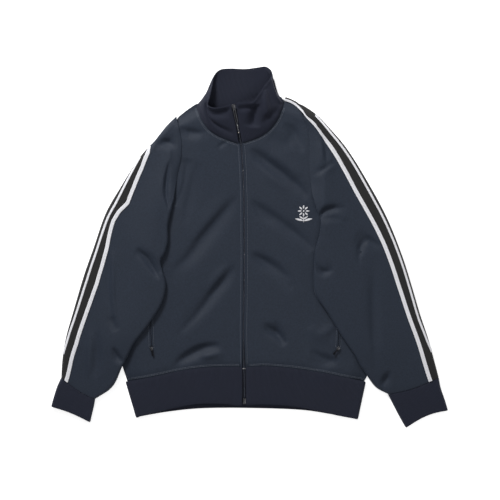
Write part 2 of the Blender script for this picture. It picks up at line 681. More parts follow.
def gap_outside(outline, x, y):
    """How far places lie outside a closed outline: 0 on it and within it."""
    corners = np.array(outline, float)
    place = np.stack(np.broadcast_arrays(x, y), axis=-1).astype(float)
    nearest = np.full(place.shape[:-1], np.inf)
    inside = np.zeros(place.shape[:-1], bool)
    for start, end in zip(corners, np.roll(corners, -1, axis=0)):
        run = end - start
        if not run.any():
            continue
        part = np.clip(((place - start) @ run) / (run @ run), 0, 1)
        nearest = np.minimum(nearest, np.linalg.norm(place - start - part[..., None] * run, axis=-1))
        if start[1] != end[1]:
            crosses = (start[1] > place[..., 1]) != (end[1] > place[..., 1])
            where = start[0] + (place[..., 1] - start[1]) * run[0] / run[1]
            inside ^= crosses & (place[..., 0] < where)
    return np.where(inside, 0.0, nearest)


def sleeve_rest(edges, x, y, past_underarm):
    """The level on which a sleeve's lower layer lies: the front, the back or the floor."""
    outline = [*edges.neck, *edges.armhole, *reversed(edges.hem)]
    over_front = 1 - ease(gap_outside(outline, x, y) / FRONT_DROP)
    over_front = over_front * (1 - ease((past_underarm - 50) / 40))
    back_outline = [*BACK_TOP, *BACK_LEFT, *reversed(BACK_HEM), *reversed(BACK_RIGHT)]
    over_back = 1 - ease(gap_outside(back_outline, x, y) / BACK_DROP)
    on_front = (front_top(x, y) + SLEEVE_CLEARANCE) * over_front
    return np.maximum(on_front, (JERSEY + SEAM_GAP) * over_back)


def to_world(points):
    """Millimetres on the laying-out sheet to metres about the origin."""
    return (np.asarray(points, float) - np.array([*LAY_CENTRE, 0.0])) * MILLIMETRE


def facing(grid, closed=False):
    """Unit directions square to a sheet of points."""
    down = np.gradient(grid, axis=0)
    if closed:
        across = (np.roll(grid, -1, axis=1) - np.roll(grid, 1, axis=1)) / 2
    else:
        across = np.gradient(grid, axis=1)
    square = np.cross(down, across)
    return square / np.maximum(np.linalg.norm(square, axis=-1, keepdims=True), 1e-9)


def arc_map(grid):
    """Distances in millimetres across and down a sheet, for a pattern to follow."""
    across = np.linalg.norm(np.diff(grid, axis=1), axis=-1)
    down = np.linalg.norm(np.diff(grid, axis=0), axis=-1)
    rows, columns = grid.shape[:2]
    u = np.concatenate([np.zeros((rows, 1)), np.cumsum(across, axis=1)], axis=1)
    u = np.tile(u.mean(axis=0), (rows, 1))
    v = np.concatenate([np.zeros((1, columns)), np.cumsum(down, axis=0)], axis=0)
    v = np.tile(v.mean(axis=1)[:, None], (1, columns))
    return np.stack([u, v], axis=-1)


# ---------------------------------------------------------------- meshes

SHARP_ANGLE = 60


def link_piece(name, mesh, material, slot, body=CLOTH_BODY):
    piece = bpy.data.objects.new(name, mesh)
    bpy.context.scene.collection.objects.link(piece)
    mesh.materials.clear()
    mesh.materials.append(material)
    mesh.shade_smooth()
    mesh.set_sharp_from_angle(angle=np.radians(SHARP_ANGLE))
    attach(piece, body)
    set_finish(piece, slot)
    return piece


def shell_faces(rows, columns, closed, first):
    """Quads of a wall with two sides and its rims."""
    other = rows * columns
    number = np.arange(other).reshape(rows, columns)
    if closed:
        number = np.hstack([number, number[:, :1]])
    quads = np.stack([number[:-1, :-1], number[:-1, 1:], number[1:, 1:], number[1:, :-1]], -1).reshape(-1, 4)
    faces = [quads, quads[:, ::-1] + other]
    for line, turn in ((number[0], 1), (number[-1], -1)):
        rim = np.stack([line[:-1], line[:-1] + other, line[1:] + other, line[1:]], -1)
        faces.append(rim[:, ::turn])
    if not closed:
        for line, turn in ((number[:, 0], -1), (number[:, -1], 1)):
            rim = np.stack([line[:-1], line[:-1] + other, line[1:] + other, line[1:]], -1)
            faces.append(rim[:, ::turn])
    return np.concatenate(faces) + first


def cloth_mesh(name, sheets, closed=False):
    """One mesh of walls, each given as points, directions, thickness and its map."""
    vertices, faces, places, first = [], [], [], 0
    for grid, square, thickness, mapped in sheets:
        rows, columns = grid.shape[:2]
        depth = thickness * rim_taper(rows, columns, closed)[..., None] / 2
        sides = [grid + square * depth, grid - square * depth]
        vertices += [to_world(side).reshape(-1, 3) for side in sides]
        places += [mapped.reshape(-1, 2)] * 2
        faces.append(shell_faces(rows, columns, closed, first))
        first += 2 * rows * columns
    mesh = bpy.data.meshes.new(name)
    mesh.from_pydata(np.concatenate(vertices).tolist(), [], np.concatenate(faces).tolist())
    turn_outwards(mesh)
    lay_map(mesh, np.concatenate(places), closed)
    return mesh


def rim_taper(rows, columns, closed):
    """A wall's thickness eases off over its last two rows of points."""
    edge = np.array([0.45, 0.85])
    down = np.ones(rows)
    down[:2], down[-2:] = edge, edge[::-1]
    across = np.ones(columns)
    if not closed:
        across[:2], across[-2:] = edge, edge[::-1]
    return np.minimum(down[:, None], across[None, :])


def turn_outwards(mesh):
    shape = bmesh.new()
    shape.from_mesh(mesh)
    bmesh.ops.recalc_face_normals(shape, faces=shape.faces)
    shape.to_mesh(mesh)
    shape.free()


def lay_map(mesh, places, closed):
    """Writes each corner's place on the cloth; a tube's last column joins its first."""
    corner = np.zeros(len(mesh.loops), int)
    mesh.loops.foreach_get("vertex_index", corner)
    spots = places[corner].reshape(-1, 4, 2)
    if closed:
        whole = places[:, 0].max()
        wrapped = (spots[..., 0].max(axis=1) - spots[..., 0].min(axis=1)) > whole / 2
        low = wrapped[:, None] & (spots[..., 0] < whole / 2)
        spots[..., 0] = np.where(low, spots[..., 0] + whole + 1.0, spots[..., 0])
    layer = mesh.uv_layers.new(name="cloth_map")
    layer.uv.foreach_set("vector", spots.reshape(-1, 2).astype(np.float32).ravel())


def point_value(mesh, name, values):
    attribute = mesh.attributes.new(name, "FLOAT", "POINT")
    attribute.data.foreach_set("value", np.asarray(values, np.float32).ravel())


# ---------------------------------------------------------------- finishes

class Wire:
    """A shader socket that takes arithmetic: each operation adds its Math node."""

    def __init__(self, finish, socket):
        self.finish = finish
        self.socket = socket

    def maths(self, operation, first, second=0.0):
        made = self.finish.node("ShaderNodeMath", {"operation": operation}, {0: first, 1: second})
        return Wire(self.finish, made.outputs[0])

    def __add__(self, other):
        return self.maths("ADD", self, other)

    def __radd__(self, other):
        return self.maths("ADD", other, self)

    def __sub__(self, other):
        return self.maths("SUBTRACT", self, other)

    def __rsub__(self, other):
        return self.maths("SUBTRACT", other, self)

    def __mul__(self, other):
        return self.maths("MULTIPLY", self, other)

    def __abs__(self):
        return self.maths("ABSOLUTE", self)

    def __gt__(self, other):
        return self.maths("GREATER_THAN", self, other)

    def wave(self, length):
        """A sine between 0 and 1 with the given wavelength."""
        turned = self.maths("SINE", self * (2 * np.pi / length))
        return turned * 0.5 + 0.5

    def capped(self):
        made = self.finish.node("ShaderNodeClamp", {}, {0: self})
        return Wire(self.finish, made.outputs[0])


class Finish:
    """One material: its Principled shader and the nodes that vary it."""

    def __init__(self, name, roughness, **constants):
        self.material = bpy.data.materials.new(name)
        self.material.use_nodes = True
        self.tree = self.material.node_tree
        self.shader = self.tree.nodes["Principled BSDF"]
        self.shader.inputs["Roughness"].default_value = roughness
        self.shader.inputs["Specular IOR Level"].default_value = 0.25
        for socket, value in constants.items():
            self.shader.inputs[socket.replace("_", " ")].default_value = value

    def node(self, kind, options, sockets):
        made = self.tree.nodes.new(kind)
        for option, value in options.items():
            setattr(made, option, value)
        for socket, value in sockets.items():
            if isinstance(value, Wire):
                self.tree.links.new(value.socket, made.inputs[socket])
            else:
                made.inputs[socket].default_value = value
        return made

    def cloth_map(self):
        """The distances across and down the cloth, in millimetres."""
        place = self.node("ShaderNodeUVMap", {"uv_map": "cloth_map"}, {})
        parts = self.node("ShaderNodeSeparateXYZ", {}, {0: Wire(self, place.outputs[0])})
        return Wire(self, parts.outputs[0]), Wire(self, parts.outputs[1])

    def place(self):
        made = self.node("ShaderNodeTexCoord", {}, {})
        return Wire(self, made.outputs["Object"])

    def place_along(self, axis):
        """The place along one axis of the object, in metres."""
        parts = self.node("ShaderNodeSeparateXYZ", {}, {0: self.place()})
        return Wire(self, parts.outputs[axis])

    def noise(self, scale, detail=3.0, roughness=0.55):
        """Cloudy values round one half; scale is patches to the metre."""
        sockets = {"Vector": self.place(), "Scale": scale, "Detail": detail, "Roughness": roughness}
        made = self.node("ShaderNodeTexNoise", {}, sockets)
        return Wire(self, made.outputs[0])

    def point_value(self, name):
        made = self.node("ShaderNodeAttribute", {"attribute_name": name}, {})
        return Wire(self, made.outputs["Fac"])

    def mix(self, share, first, second):
        """A colour between two colours."""
        values = {0: share, 6: self.colour(first), 7: self.colour(second)}
        made = self.node("ShaderNodeMix", {"data_type": "RGBA", "clamp_factor": True}, values)
        return Wire(self, made.outputs[2])

    def colour(self, value):
        return value if isinstance(value, Wire) else (*tuple(value)[:3], 1.0)

    def vary(self, socket, wire):
        self.tree.links.new(wire.socket, self.shader.inputs[socket])

    def bump(self, height, distance):
        """Raises the surface by a height between 0 and 1 times a distance in metres."""
        made = self.node("ShaderNodeBump", {}, {"Height": height, "Distance": distance})
        self.tree.links.new(made.outputs["Normal"], self.shader.inputs["Normal"])

    def coat(self, colour, roughness):
        self.vary("Base Color", colour)
        self.vary("Roughness", roughness)
        return self.material

    def surface(self, colour, roughness, height, distance):
        self.bump(height, distance)
        return self.coat(colour, roughness)


def shade(colour, factor):
    return tuple(min(1.0, channel * factor) for channel in tuple(colour)[:3])


def finish_jersey(name, taped=False):
    """Smooth knitted tricot: fine wales, a soft sheen and slight patchiness."""
    navy = colours().navy
    finish = Finish(name, 0.6, Sheen_Weight=0.12, Sheen_Roughness=0.45)
    finish.shader.inputs["Sheen Tint"].default_value = (0.62, 0.72, 0.9, 1.0)
    across, down = finish.cloth_map()
    patches = finish.noise(16.0, 3.0)
    heather = finish.noise(900.0, 2.0)
    grain = finish.noise(330.0, 3.0, 0.7)
    colour = finish.mix(patches, shade(navy, 0.88), shade(navy, 1.1))
    colour = finish.mix(heather * 0.4, colour, shade(navy, 1.3))
    colour = finish.mix((grain * 2.4 - 0.7).capped(), shade(navy, 0.72), colour)
    height = across.wave(1.1) * 0.6 + (down + across * 0.5).wave(0.9) * 0.4
    if taped:
        colour, height = paint_tape(finish, colour, height)
    return finish.surface(colour, 0.56 + patches * 0.12, height + heather * 0.4, 0.00012)


def paint_tape(finish, colour, knit):
    """The tape's far side, which lies flat under the sleeve: white, black, white, black, white."""
    across = finish.point_value("tape")
    on_tape = (across > 0.0) * (1.0 - (across > 1.0))
    edge, near = BRAID_WIDTH / STRIPE_WIDTH, BRAID_STEP / STRIPE_WIDTH
    far = near + MIDDLE_BRAID_WIDTH / STRIPE_WIDTH
    white = (1.0 - (across > edge)) + (across > near) * (1.0 - (across > far)) + (across > 1.0 - edge)
    strip = finish.mix(white.capped(), colours().tape, shade(colours().braid, 0.92))
    return finish.mix(on_tape, colour, strip), knit + on_tape * 1.5


def finish_rib():
    """Doubled rib knit: upright ribs with small loops along them."""
    tone = colours().rib
    finish = Finish("navy rib", 0.72, Sheen_Weight=0.1, Sheen_Roughness=0.5)
    finish.shader.inputs["Sheen Tint"].default_value = (0.66, 0.68, 0.9, 1.0)
    across, down = finish.cloth_map()
    pitch = settings().rib_pitch * 1000
    rib = across.wave(pitch)
    loops = (down + abs(across.wave(pitch) - 0.5) * 0.8).wave(1.4)
    patches = finish.noise(22.0, 3.0)
    colour = finish.mix(rib * 0.75 + loops * 0.15, shade(tone, 0.62), shade(tone, 1.2))
    colour = finish.mix(patches * 0.4, colour, shade(tone, 1.35))
    return finish.surface(colour, 0.66 + patches * 0.14, rib * 0.8 + loops * 0.2, 0.0005)


def finish_tape():
    """Woven black tape with a crosswise grain."""
    tone = colours().tape
    finish = Finish("black tape", 0.66, Sheen_Weight=0.06, Sheen_Roughness=0.5)
    across, down = finish.cloth_map()
    grain = down.wave(1.3) * 0.6 + across.wave(0.9) * 0.4
    patches = finish.noise(30.0)
    colour = finish.mix(grain * 0.6 + patches * 0.3, shade(tone, 0.75), shade(tone, 1.5))
    return finish.surface(colour, 0.6 + patches * 0.15, grain, 0.00018)


def finish_braid():
    """White braid: two rows of slanted loops that meet along its middle."""
    tone = colours().braid
    finish = Finish("white braid", 0.7, Sheen_Weight=0.25, Sheen_Roughness=0.5)
    across, down = finish.cloth_map()
    middle = abs(across - 4.5)
    loops = (down + middle * 0.8).wave(3.4)
    groove = 1.0 - (middle * 2.4).capped()
    height = loops * 0.8 + 0.2 - groove * 0.4
    patches = finish.noise(60.0)
    colour = finish.mix(height.capped() * 0.8 + patches * 0.2, shade(tone, 0.72), shade(tone, 1.04))
    return finish.surface(colour, 0.64 + patches * 0.14, height, 0.0005)


def finish_zip_cloth():
    """Zip tape: a fine herringbone."""
    tone = colours().rib
    finish = Finish("zip tape", 0.75, Sheen_Weight=0.15)
    across, down = finish.cloth_map()
    weave = (down + abs(across.wave(4.0) - 0.5) * 4.0).wave(1.2)
    patches = finish.noise(40.0)
    colour = finish.mix(weave * 0.5 + patches * 0.4, shade(tone, 0.6), shade(tone, 1.15))
    return finish.surface(colour, 0.7 + patches * 0.12, weave, 0.0002)


def finish_thread(name, tone):
    """Twisted sewing thread."""
    finish = Finish(name, 0.5, Sheen_Weight=0.3)
    twist = finish.noise(1600.0, 2.0)
    patches = finish.noise(45.0)
    colour = finish.mix(twist * 0.6 + patches * 0.4, shade(tone, 0.7), shade(tone, 1.3))
    return finish.surface(colour, 0.42 + twist * 0.2, twist, 0.00008)


def finish_satin():
    """Satin stitch: threads laid side by side across each leaf and petal."""
    tone = colours().braid
    finish = Finish("satin stitch", 0.45, Sheen_Weight=0.3, Sheen_Roughness=0.35)
    across, down = finish.cloth_map()
    threads = (down + across * 0.25).wave(0.55)
    patches = finish.noise(120.0)
    colour = finish.mix(threads * 0.7 + patches * 0.3, shade(tone, 0.72), shade(tone, 1.05))
    return finish.surface(colour, 0.38 + patches * 0.16, threads, 0.00018)


def finish_metal(name, tone, roughness):
    """Cast zip metal: fine scratches, darker in patches where it has dulled."""
    finish = Finish(name, roughness, Metallic=1.0)
    dull = finish.noise(350.0, 4.0)
    scratches = finish.noise(2600.0, 2.0)
    colour = finish.mix((dull * 1.6 - 0.3).capped(), shade(tone, 0.6), shade(tone, 1.1))
    return finish.surface(colour, roughness - 0.08 + dull * 0.22, scratches, 0.00003)


def finish_teeth():
    """Cast teeth, dulled dark, with worn heads that catch the light here and there."""
    tone = colours().teeth
    finish = Finish("zip teeth", 0.34, Metallic=1.0)
    dull, bright = finish.noise(500.0, 2.0), finish.noise(210.0, 2.0, 0.7)
    at_neck = ((finish.place_along(1) - 0.226) * 40.0).capped()
    glint = ((bright - 0.66 + at_neck * 0.10) * 18.0).capped()
    base = finish.mix(dull, shade(tone, 0.55), shade(tone, 1.5))
    return finish.surface(finish.mix(glint, base, (0.78, 0.78, 0.8)), 0.42 - glint * 0.2, dull, 0.00003)


def finish_floor():
    """Plain pale floor, lit from beneath as a copy stand's table is."""
    finish = Finish("pale floor", 0.9, Emission_Color=(1.0, 1.0, 1.0, 1.0), Emission_Strength=0.62)
    patches = finish.noise(1.5, 2.0)
    return finish.coat(finish.mix(patches, (0.93, 0.93, 0.93), (0.97, 0.97, 0.97)), 0.86 + patches * 0.08)


FINISHES = {}


def finish_of(name):
    """Makes each finish once, the first time that a piece asks for it."""
    makers = {
        "jersey": lambda: finish_jersey("navy jersey"),
        "taped_jersey": lambda: finish_jersey("navy jersey with tape", taped=True),
        "rib": finish_rib,
        "tape": finish_tape,
        "braid": finish_braid,
        "zip_cloth": finish_zip_cloth,
        "thread": lambda: finish_thread("navy thread", colours().thread),
        "satin": finish_satin,
        "metal": lambda: finish_metal("zip metal", colours().metal, 0.3),
        "dark_metal": lambda: finish_metal("dark enamel", (0.02, 0.021, 0.026), 0.34),
        "teeth": finish_teeth,
        "floor": finish_floor,
    }
    if name not in FINISHES:
        FINISHES[name] = makers[name]()
    return FINISHES[name]


# ---------------------------------------------------------------- cloth pieces

def declare(sheets, closed=False):
    """States the flat cut of a cloth piece: its box and its own area, all round on a tube."""
    width = length = area = 0.0
    for grid, *_ in sheets:
        round_it = np.concatenate([grid, grid[:, :1]], axis=1) if closed else grid
        across, down = np.diff(round_it, axis=1), np.diff(round_it, axis=0)
        width = max(width, np.linalg.norm(across, axis=-1).sum(axis=1).max())
        length += np.linalg.norm(down, axis=-1).sum(axis=0).max()
        first = np.cross(across[:-1], down[:, :-1])
        second = np.cross(across[1:], down[:, 1:])
        area += (np.linalg.norm(first, axis=-1) + np.linalg.norm(second, axis=-1)).sum() / 2


def cloth_piece(name, sheets, look, slot, closed=False):
    """A wall of cloth round one or more sheets of points."""
    return link_piece(name, cloth_mesh(name, sheets, closed), finish_of(look), slot)


def front_grid(edges, side):
    """A front's points: rows crowd towards the neck and columns towards its edges."""
    rows, columns = FRONT_FINE
    line = [(row.x + side * FRONT_TO_TEETH, row.y) for row in reversed(ZIP_LINE)]
    line = [point for point in line if -250 < point[1] < 220]
    zip_side = (edges.neck[0], *line, edges.hem[0])
    near = np.array([0.0, 0.7, 1.6, 3.0, 5.0]) / 260
    across = np.concatenate([near, 1 - np.linspace(1 - 0.028, 0, columns - 5) ** 1.12])
    down = np.linspace(0, 1, rows) ** 1.1
    plan = patch(edges.neck, edges.hem, zip_side, edges.armhole, across, down)
    height = front_face(plan[..., 0], plan[..., 1])
    beside = zip_distance(plan[..., 0], plan[..., 1]) - FRONT_TO_TEETH
    turning = TURNING_HEIGHT * np.exp(-(((beside - TURNING_PLACE) / TURNING_WIDTH) ** 2))
    height = height + turning - EDGE_DIP * (1 - ease(beside / EDGE_DIP_WIDTH))
    height = height - STITCH_DIP * np.exp(-((beside - ZIP_FACING) ** 2))
    tucked = ease((down - (1 - HEM_SHARE)) / HEM_SHARE)[:, None]
    height = height - HEM_DIP * tucked
    plan[..., 1] -= HEM_TUCK * tucked
    return np.concatenate([plan, height[..., None] - JERSEY / 2], axis=-1)


def make_front(name, edges, side):
    grid = front_grid(edges, side)
    sheets = [(grid, facing(grid), settings().cloth_thickness * 1000, arc_map(grid))]
    piece = cloth_piece(f"{name}_front", sheets, "jersey", "navy_jersey")
    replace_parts(piece, f"front_{name}")
    declare(sheets)


def make_back():
    rows, columns = BACK_FINE
    across, down = np.linspace(0, 1, columns), np.linspace(0, 1, rows)
    plan = patch(BACK_TOP, BACK_HEM, BACK_RIGHT, BACK_LEFT, across, down)
    thickness = settings().cloth_thickness * 1000
    pressed = -relief(BACK_CREASES, plan[..., 0], plan[..., 1]) * settings().crease_depth
    grid = np.concatenate([plan, (thickness / 2 + pressed)[..., None]], axis=-1)
    up = np.zeros(grid.shape)
    up[..., 2] = 1
    sheets = [(grid, up, thickness, arc_map(grid))]
    piece = cloth_piece("back_panel", sheets, "jersey", "navy_jersey")
    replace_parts(piece, "back")
    declare(sheets)


def fold_rise(distance, radius):
    """Quarter-round profile of a fold: 0 at its edge and 1 a radius inside."""
    inside = np.clip(distance / radius, 0, 1)
    return np.sqrt(1 - (1 - inside) ** 2)


def spread(total, near, far, inner, near_steps, far_steps):
    """Distances along a run: close together over the folds at its two ends."""
    first = 1 - np.cos(np.pi / 2 * np.arange(1, near_steps + 1) / near_steps)
    last = 1 - np.cos(np.pi / 2 * np.arange(far_steps, 0, -1) / far_steps)
    middle = np.linspace(near, total - far, inner + 2)[1:-1]
    return np.concatenate([near * first, middle, total - far * last])


def fold_directions(sideways, upright, fold, height, steps):
    """Directions square to a fold's quarter round, from just past its edge to its top."""
    turn = np.pi / 2 * np.arange(1, steps + 1) / steps
    flat, rise = np.cos(turn) / fold, np.sin(turn) / height
    turned = flat[:, None] * np.array([*sideways, 0.0]) + rise[:, None] * np.array([0.0, 0.0, upright])
    return turned / np.linalg.norm(turned, axis=1, keepdims=True)


def sleeve_ring(table, armhole, edges, row):
    """One section of a sleeve, and the directions square to it.

    It runs from the outer fold over the upper layer to the inner fold and back beneath."""
    columns = [
        (*item.outer, *item.inner, *item.under, item.outer_height, item.inner_height) for item in table
    ]
    values = flow(columns, row)
    outer, inner, under = values[0:2], values[2:4], values[4:6]
    height, inner_height = values[6:8]
    run_down = flow(columns, row + 0.1) - flow(columns, row - 0.1)
    outward = [np.array([-run_down[k + 1], run_down[k]]) / np.hypot(*run_down[k:k + 2]) for k in (0, 2)]
    outward = [way * np.sign(way[0] * outer[0]) * sign for way, sign in zip(outward, (1, -1))]
    puff = CUFF_PUFF[int(outer[0] > 0)] * np.exp(-(((row - CUFF_PUFF_ROW) / CUFF_PUFF_ROWS) ** 2))
    inner = inner + outward[1] * puff
    near_armhole = 1 - ease(row / ARMHOLE_ROWS)
    near_cuff = ease(row - len(table) + 2) * CUFF_SEAM_BOW
    swing = SLEEVE_SWING * ease(row / 0.8) * (1 - ease((row - 2) / 3))
    free = ease(row / 1.1)
    span = np.linalg.norm(inner - outer)
    first, second = np.linalg.norm(under - inner), np.linalg.norm(outer - under)

    def run(start, end, seam, distances, total):
        fractions = distances / total
        chord = np.subtract(seam[-1], seam[0]) * fractions[:, None] + np.asarray(seam[0], float)
        bow = along(seam, fractions) - chord
        return start + (end - start) * fractions[:, None] + bow * near_armhole

    def upper_level(plan, share):
        x, y = plan[:, 0], plan[:, 1]
        lying = height + (inner_height - height) * ease((share - 0.15) / 0.7)
        lying = lying + relief(SLEEVE_FOLDS, x, y) * ease(row / SETTLING_ROWS)
        lying = lying + worn(SLEEVE_CREASES, x, y) * ease(row / SETTLING_ROWS) * settings().crease_depth
        lap = LAP_GAP * ease(row / 0.3)
        on_seam = front_top(x, y) + lap + JERSEY / 2
        on_seam = on_seam + 1.5 * (1 - ease((share - 0.1) / 0.15)) + SEAM_RISE * ease((share - 0.72) / 0.28)
        return on_seam * (1 - free) + lying * free

    def lower_level(plan, distances):
        return sleeve_rest(edges, plan[:, 0], plan[:, 1], distances - first) + JERSEY / 2

    ends = np.array([outer, inner])
    tops, lows = upper_level(ends, np.array([0.0, 1.0])), lower_level(ends, np.array([first + second, 0.0]))
    outer_end, inner_end = (tops + lows) / 2
    outer_half, inner_half = (tops - lows) / 2
    outer_fold = min(OUTER_FOLD, outer_half**2 / FOLD_TIP)
    inner_fold = min(INNER_FOLD, inner_half**2 / FOLD_TIP)

    upper = spread(span, outer_fold, inner_fold, UPPER_STEPS, OUTER_STEPS, INNER_STEPS)
    nearby = np.array(UNDERARM_STEPS) * min(1, first / 150, second / 150)
    inner_turns = np.pi / 2 * np.arange(1, INNER_STEPS + 1) / INNER_STEPS
    outer_turns = np.pi / 2 * np.arange(OUTER_STEPS, 0, -1) / OUTER_STEPS
    over_body = np.concatenate([
        inner_fold * (1 - np.cos(inner_turns)),
        np.linspace(inner_fold, first - nearby[2], 12)[1:-1], first - nearby[2::-1],
    ])
    over_floor = np.concatenate([
        nearby, np.linspace(nearby[-1], second - outer_fold, 16)[1:-1],
        second - outer_fold * (1 - np.cos(outer_turns)),
    ])
    lower = np.concatenate([over_body, [first], first + over_floor])
    share = upper / span
    top_plan = run(outer, inner, armhole.front, upper, span)
    top_plan = top_plan - outward[1] * (swing * 6.75 * share**2 * (1 - share))[:, None]
    top_plan[:, 1] -= near_cuff * np.sin(np.pi * share)
    low_plan = np.concatenate([
        run(inner, under, armhole.hidden, over_body, first),
        [under],
        run(under, outer, armhole.back, over_floor, second),
    ])
    low_plan[:, 1] -= near_cuff * np.sin(np.pi * lower / (first + second))

    top_level = upper_level(top_plan, share)
    low_level = lower_level(low_plan, lower)
    top_level = outer_end + (top_level - outer_end) * fold_rise(upper, outer_fold)
    top_level = inner_end + (top_level - inner_end) * fold_rise(span - upper, inner_fold)
    low_level = inner_end + (low_level - inner_end) * fold_rise(lower, inner_fold)
    low_level = outer_end + (low_level - outer_end) * fold_rise(first + second - lower, outer_fold)
    top = np.column_stack([top_plan, top_level])
    low = np.column_stack([low_plan, low_level])

    up, down = np.array([[0.0, 0.0, 1.0]]), np.array([[0.0, 0.0, -1.0]])
    directions = np.vstack([
        [*outward[0], 0.0],
        fold_directions(outward[0], 1, outer_fold, outer_half, OUTER_STEPS),
        up.repeat(UPPER_STEPS, axis=0),
        fold_directions(outward[1], 1, inner_fold, inner_half, INNER_STEPS)[::-1],
        [*outward[1], 0.0],
        fold_directions(outward[1], -1, inner_fold, inner_half, INNER_STEPS),
        down.repeat(len(lower) - INNER_STEPS - OUTER_STEPS, axis=0),
        fold_directions(outward[0], -1, outer_fold, outer_half, OUTER_STEPS)[::-1],
    ])
    return np.vstack([[*outer, outer_end], top, [*inner, inner_end], low]), directions


def sleeve_rows():
    """Ring places: closer together by the armhole."""
    last = len(SLEEVE_LEFT) - 1
    return np.concatenate([np.linspace(0, 1.2, 24)[:-1], np.linspace(1.2, last, SLEEVE_FINE - 23)])


def sleeve_sheet(table, armhole, edges):
    rings = [sleeve_ring(table, armhole, edges, row) for row in sleeve_rows()]
    return np.array([ring[0] for ring in rings]), np.array([ring[1] for ring in rings])


def from_outer_fold(section):
    """Each ring point's distance round the cloth from the outer fold: up over it is positive."""
    steps = np.linalg.norm(np.diff(np.vstack([section, section[:1]]), axis=0), axis=1)
    forward = np.concatenate([[0.0], np.cumsum(steps)[:-1]])
    return np.where(forward < steps.sum() / 2, forward, forward - steps.sum())


def tape_reach(table, row):
    return np.interp(row, [item.row for item in table], [item.reach for item in table])


def make_sleeve(name, grid, square, reaches):
    sheets = [(grid, square, settings().cloth_thickness * 1000, arc_map(grid))]
    mesh = cloth_mesh(f"{name}_sleeve", sheets, closed=True)
    across = []
    for row, section in zip(sleeve_rows(), grid):
        start = tape_reach(reaches, row) + FOLD_RISE_ARC
        across.append((start - from_outer_fold(section)) / STRIPE_WIDTH)
    outside = np.array(across)
    point_value(mesh, "tape", np.concatenate([outside, np.full(outside.shape, -1.0)]))
    piece = link_piece(f"{name}_sleeve", mesh, finish_of("taped_jersey"), "navy_jersey")
    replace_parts(piece, f"sleeve_{name}")
    declare(sheets, closed=True)


def tape_strip(grid, square, edge_of, rows, width_of, lowest, lift, crown):
    """A strip round the sleeve's outer fold, on the sleeve's own points moved out.

    edge_of and width_of give its inner edge and its width at each row, and a crown
    rounds the strip."""
    order = [*range(-OUTER_STEPS - 1, 0), *range(0, OUTER_STEPS + UPPER_STEPS // 2)]
    rings = []
    for row, section, directions in zip(sleeve_rows(), grid[:, order], square[:, order]):
        if rows[0] <= row <= rows[1]:
            steps = np.linalg.norm(np.diff(section, axis=0), axis=1)
            length = lengths(section) - steps[:OUTER_STEPS + 1].sum()
            rings.append((row, section, directions, length, edge_of(row)))

    edge = np.array([at_lengths([start], length, section)[0] for _, section, _, length, start in rings])
    run = np.gradient(edge, axis=0)
    run = run / np.linalg.norm(run, axis=1, keepdims=True)
    strip, share = [], np.linspace(0, 1, TAPE_COLUMNS)
    raised = crown * np.sin(np.pi * share) ** CROWN_POWER
    for way, (row, section, directions, length, start) in zip(run, rings):
        ends = at_lengths([start, start - TAPE_PROBE], length, section)
        inwards = (ends[1] - ends[0]) / np.linalg.norm(ends[1] - ends[0])
        squarely = max(LEAST_SQUARENESS, np.linalg.norm(np.cross(way, inwards)))
        end = max(start - width_of(row) / squarely, lowest)
        if start - end < LEAST_TAPE:
            end = start - LEAST_TAPE
        arcs = start + (end - start) * share
        turned = at_lengths(arcs, length, directions)
        turned = turned / np.linalg.norm(turned, axis=1, keepdims=True)
        moved = lift + SHOULDER_LIFT * (1 - ease(row)) + raised
        strip.append(at_lengths(arcs, length, section) + turned * moved[:, None])
    return strip


def shoulder_strip(width, lift, crown):
    """The tape's start on the left shoulder, lying on the front and over its edge."""
    share = np.linspace(0, 1, TAPE_COLUMNS)
    raised = crown * np.sin(np.pi * share) ** CROWN_POWER
    inward = np.array(SHOULDER_INWARD)
    strip = []
    for item in TAPE_SHOULDER:
        reach = item.reach + (max(item.reach - width, -SHOULDER_OVERHANG) - item.reach) * share
        plan = np.array([item.x, item.y]) + np.maximum(reach, 0)[:, None] * inward
        height = front_top(plan[:, 0], plan[:, 1]) + lift - JERSEY / 2
        over = np.clip(-reach, 0, SHOULDER_OVERHANG) / SHOULDER_OVERHANG
        plan = plan - inward * over[:, None] * (lift + SHOULDER_OUT)
        strip.append(np.column_stack([plan, height + SHOULDER_CLEAR - over * SHOULDER_OVERHANG + raised]))
    return strip


def smooth_start(strip, blended):
    """Lays rows between the shoulder's few rows and the sleeve's many."""
    first = np.array(strip[:blended + 1])
    places = np.linspace(0, blended, 10 * blended + 1)
    flat = first.reshape(len(first), -1)
    return [*flow(flat, places).reshape(len(places), *first.shape[1:]), *strip[blended + 1:]]


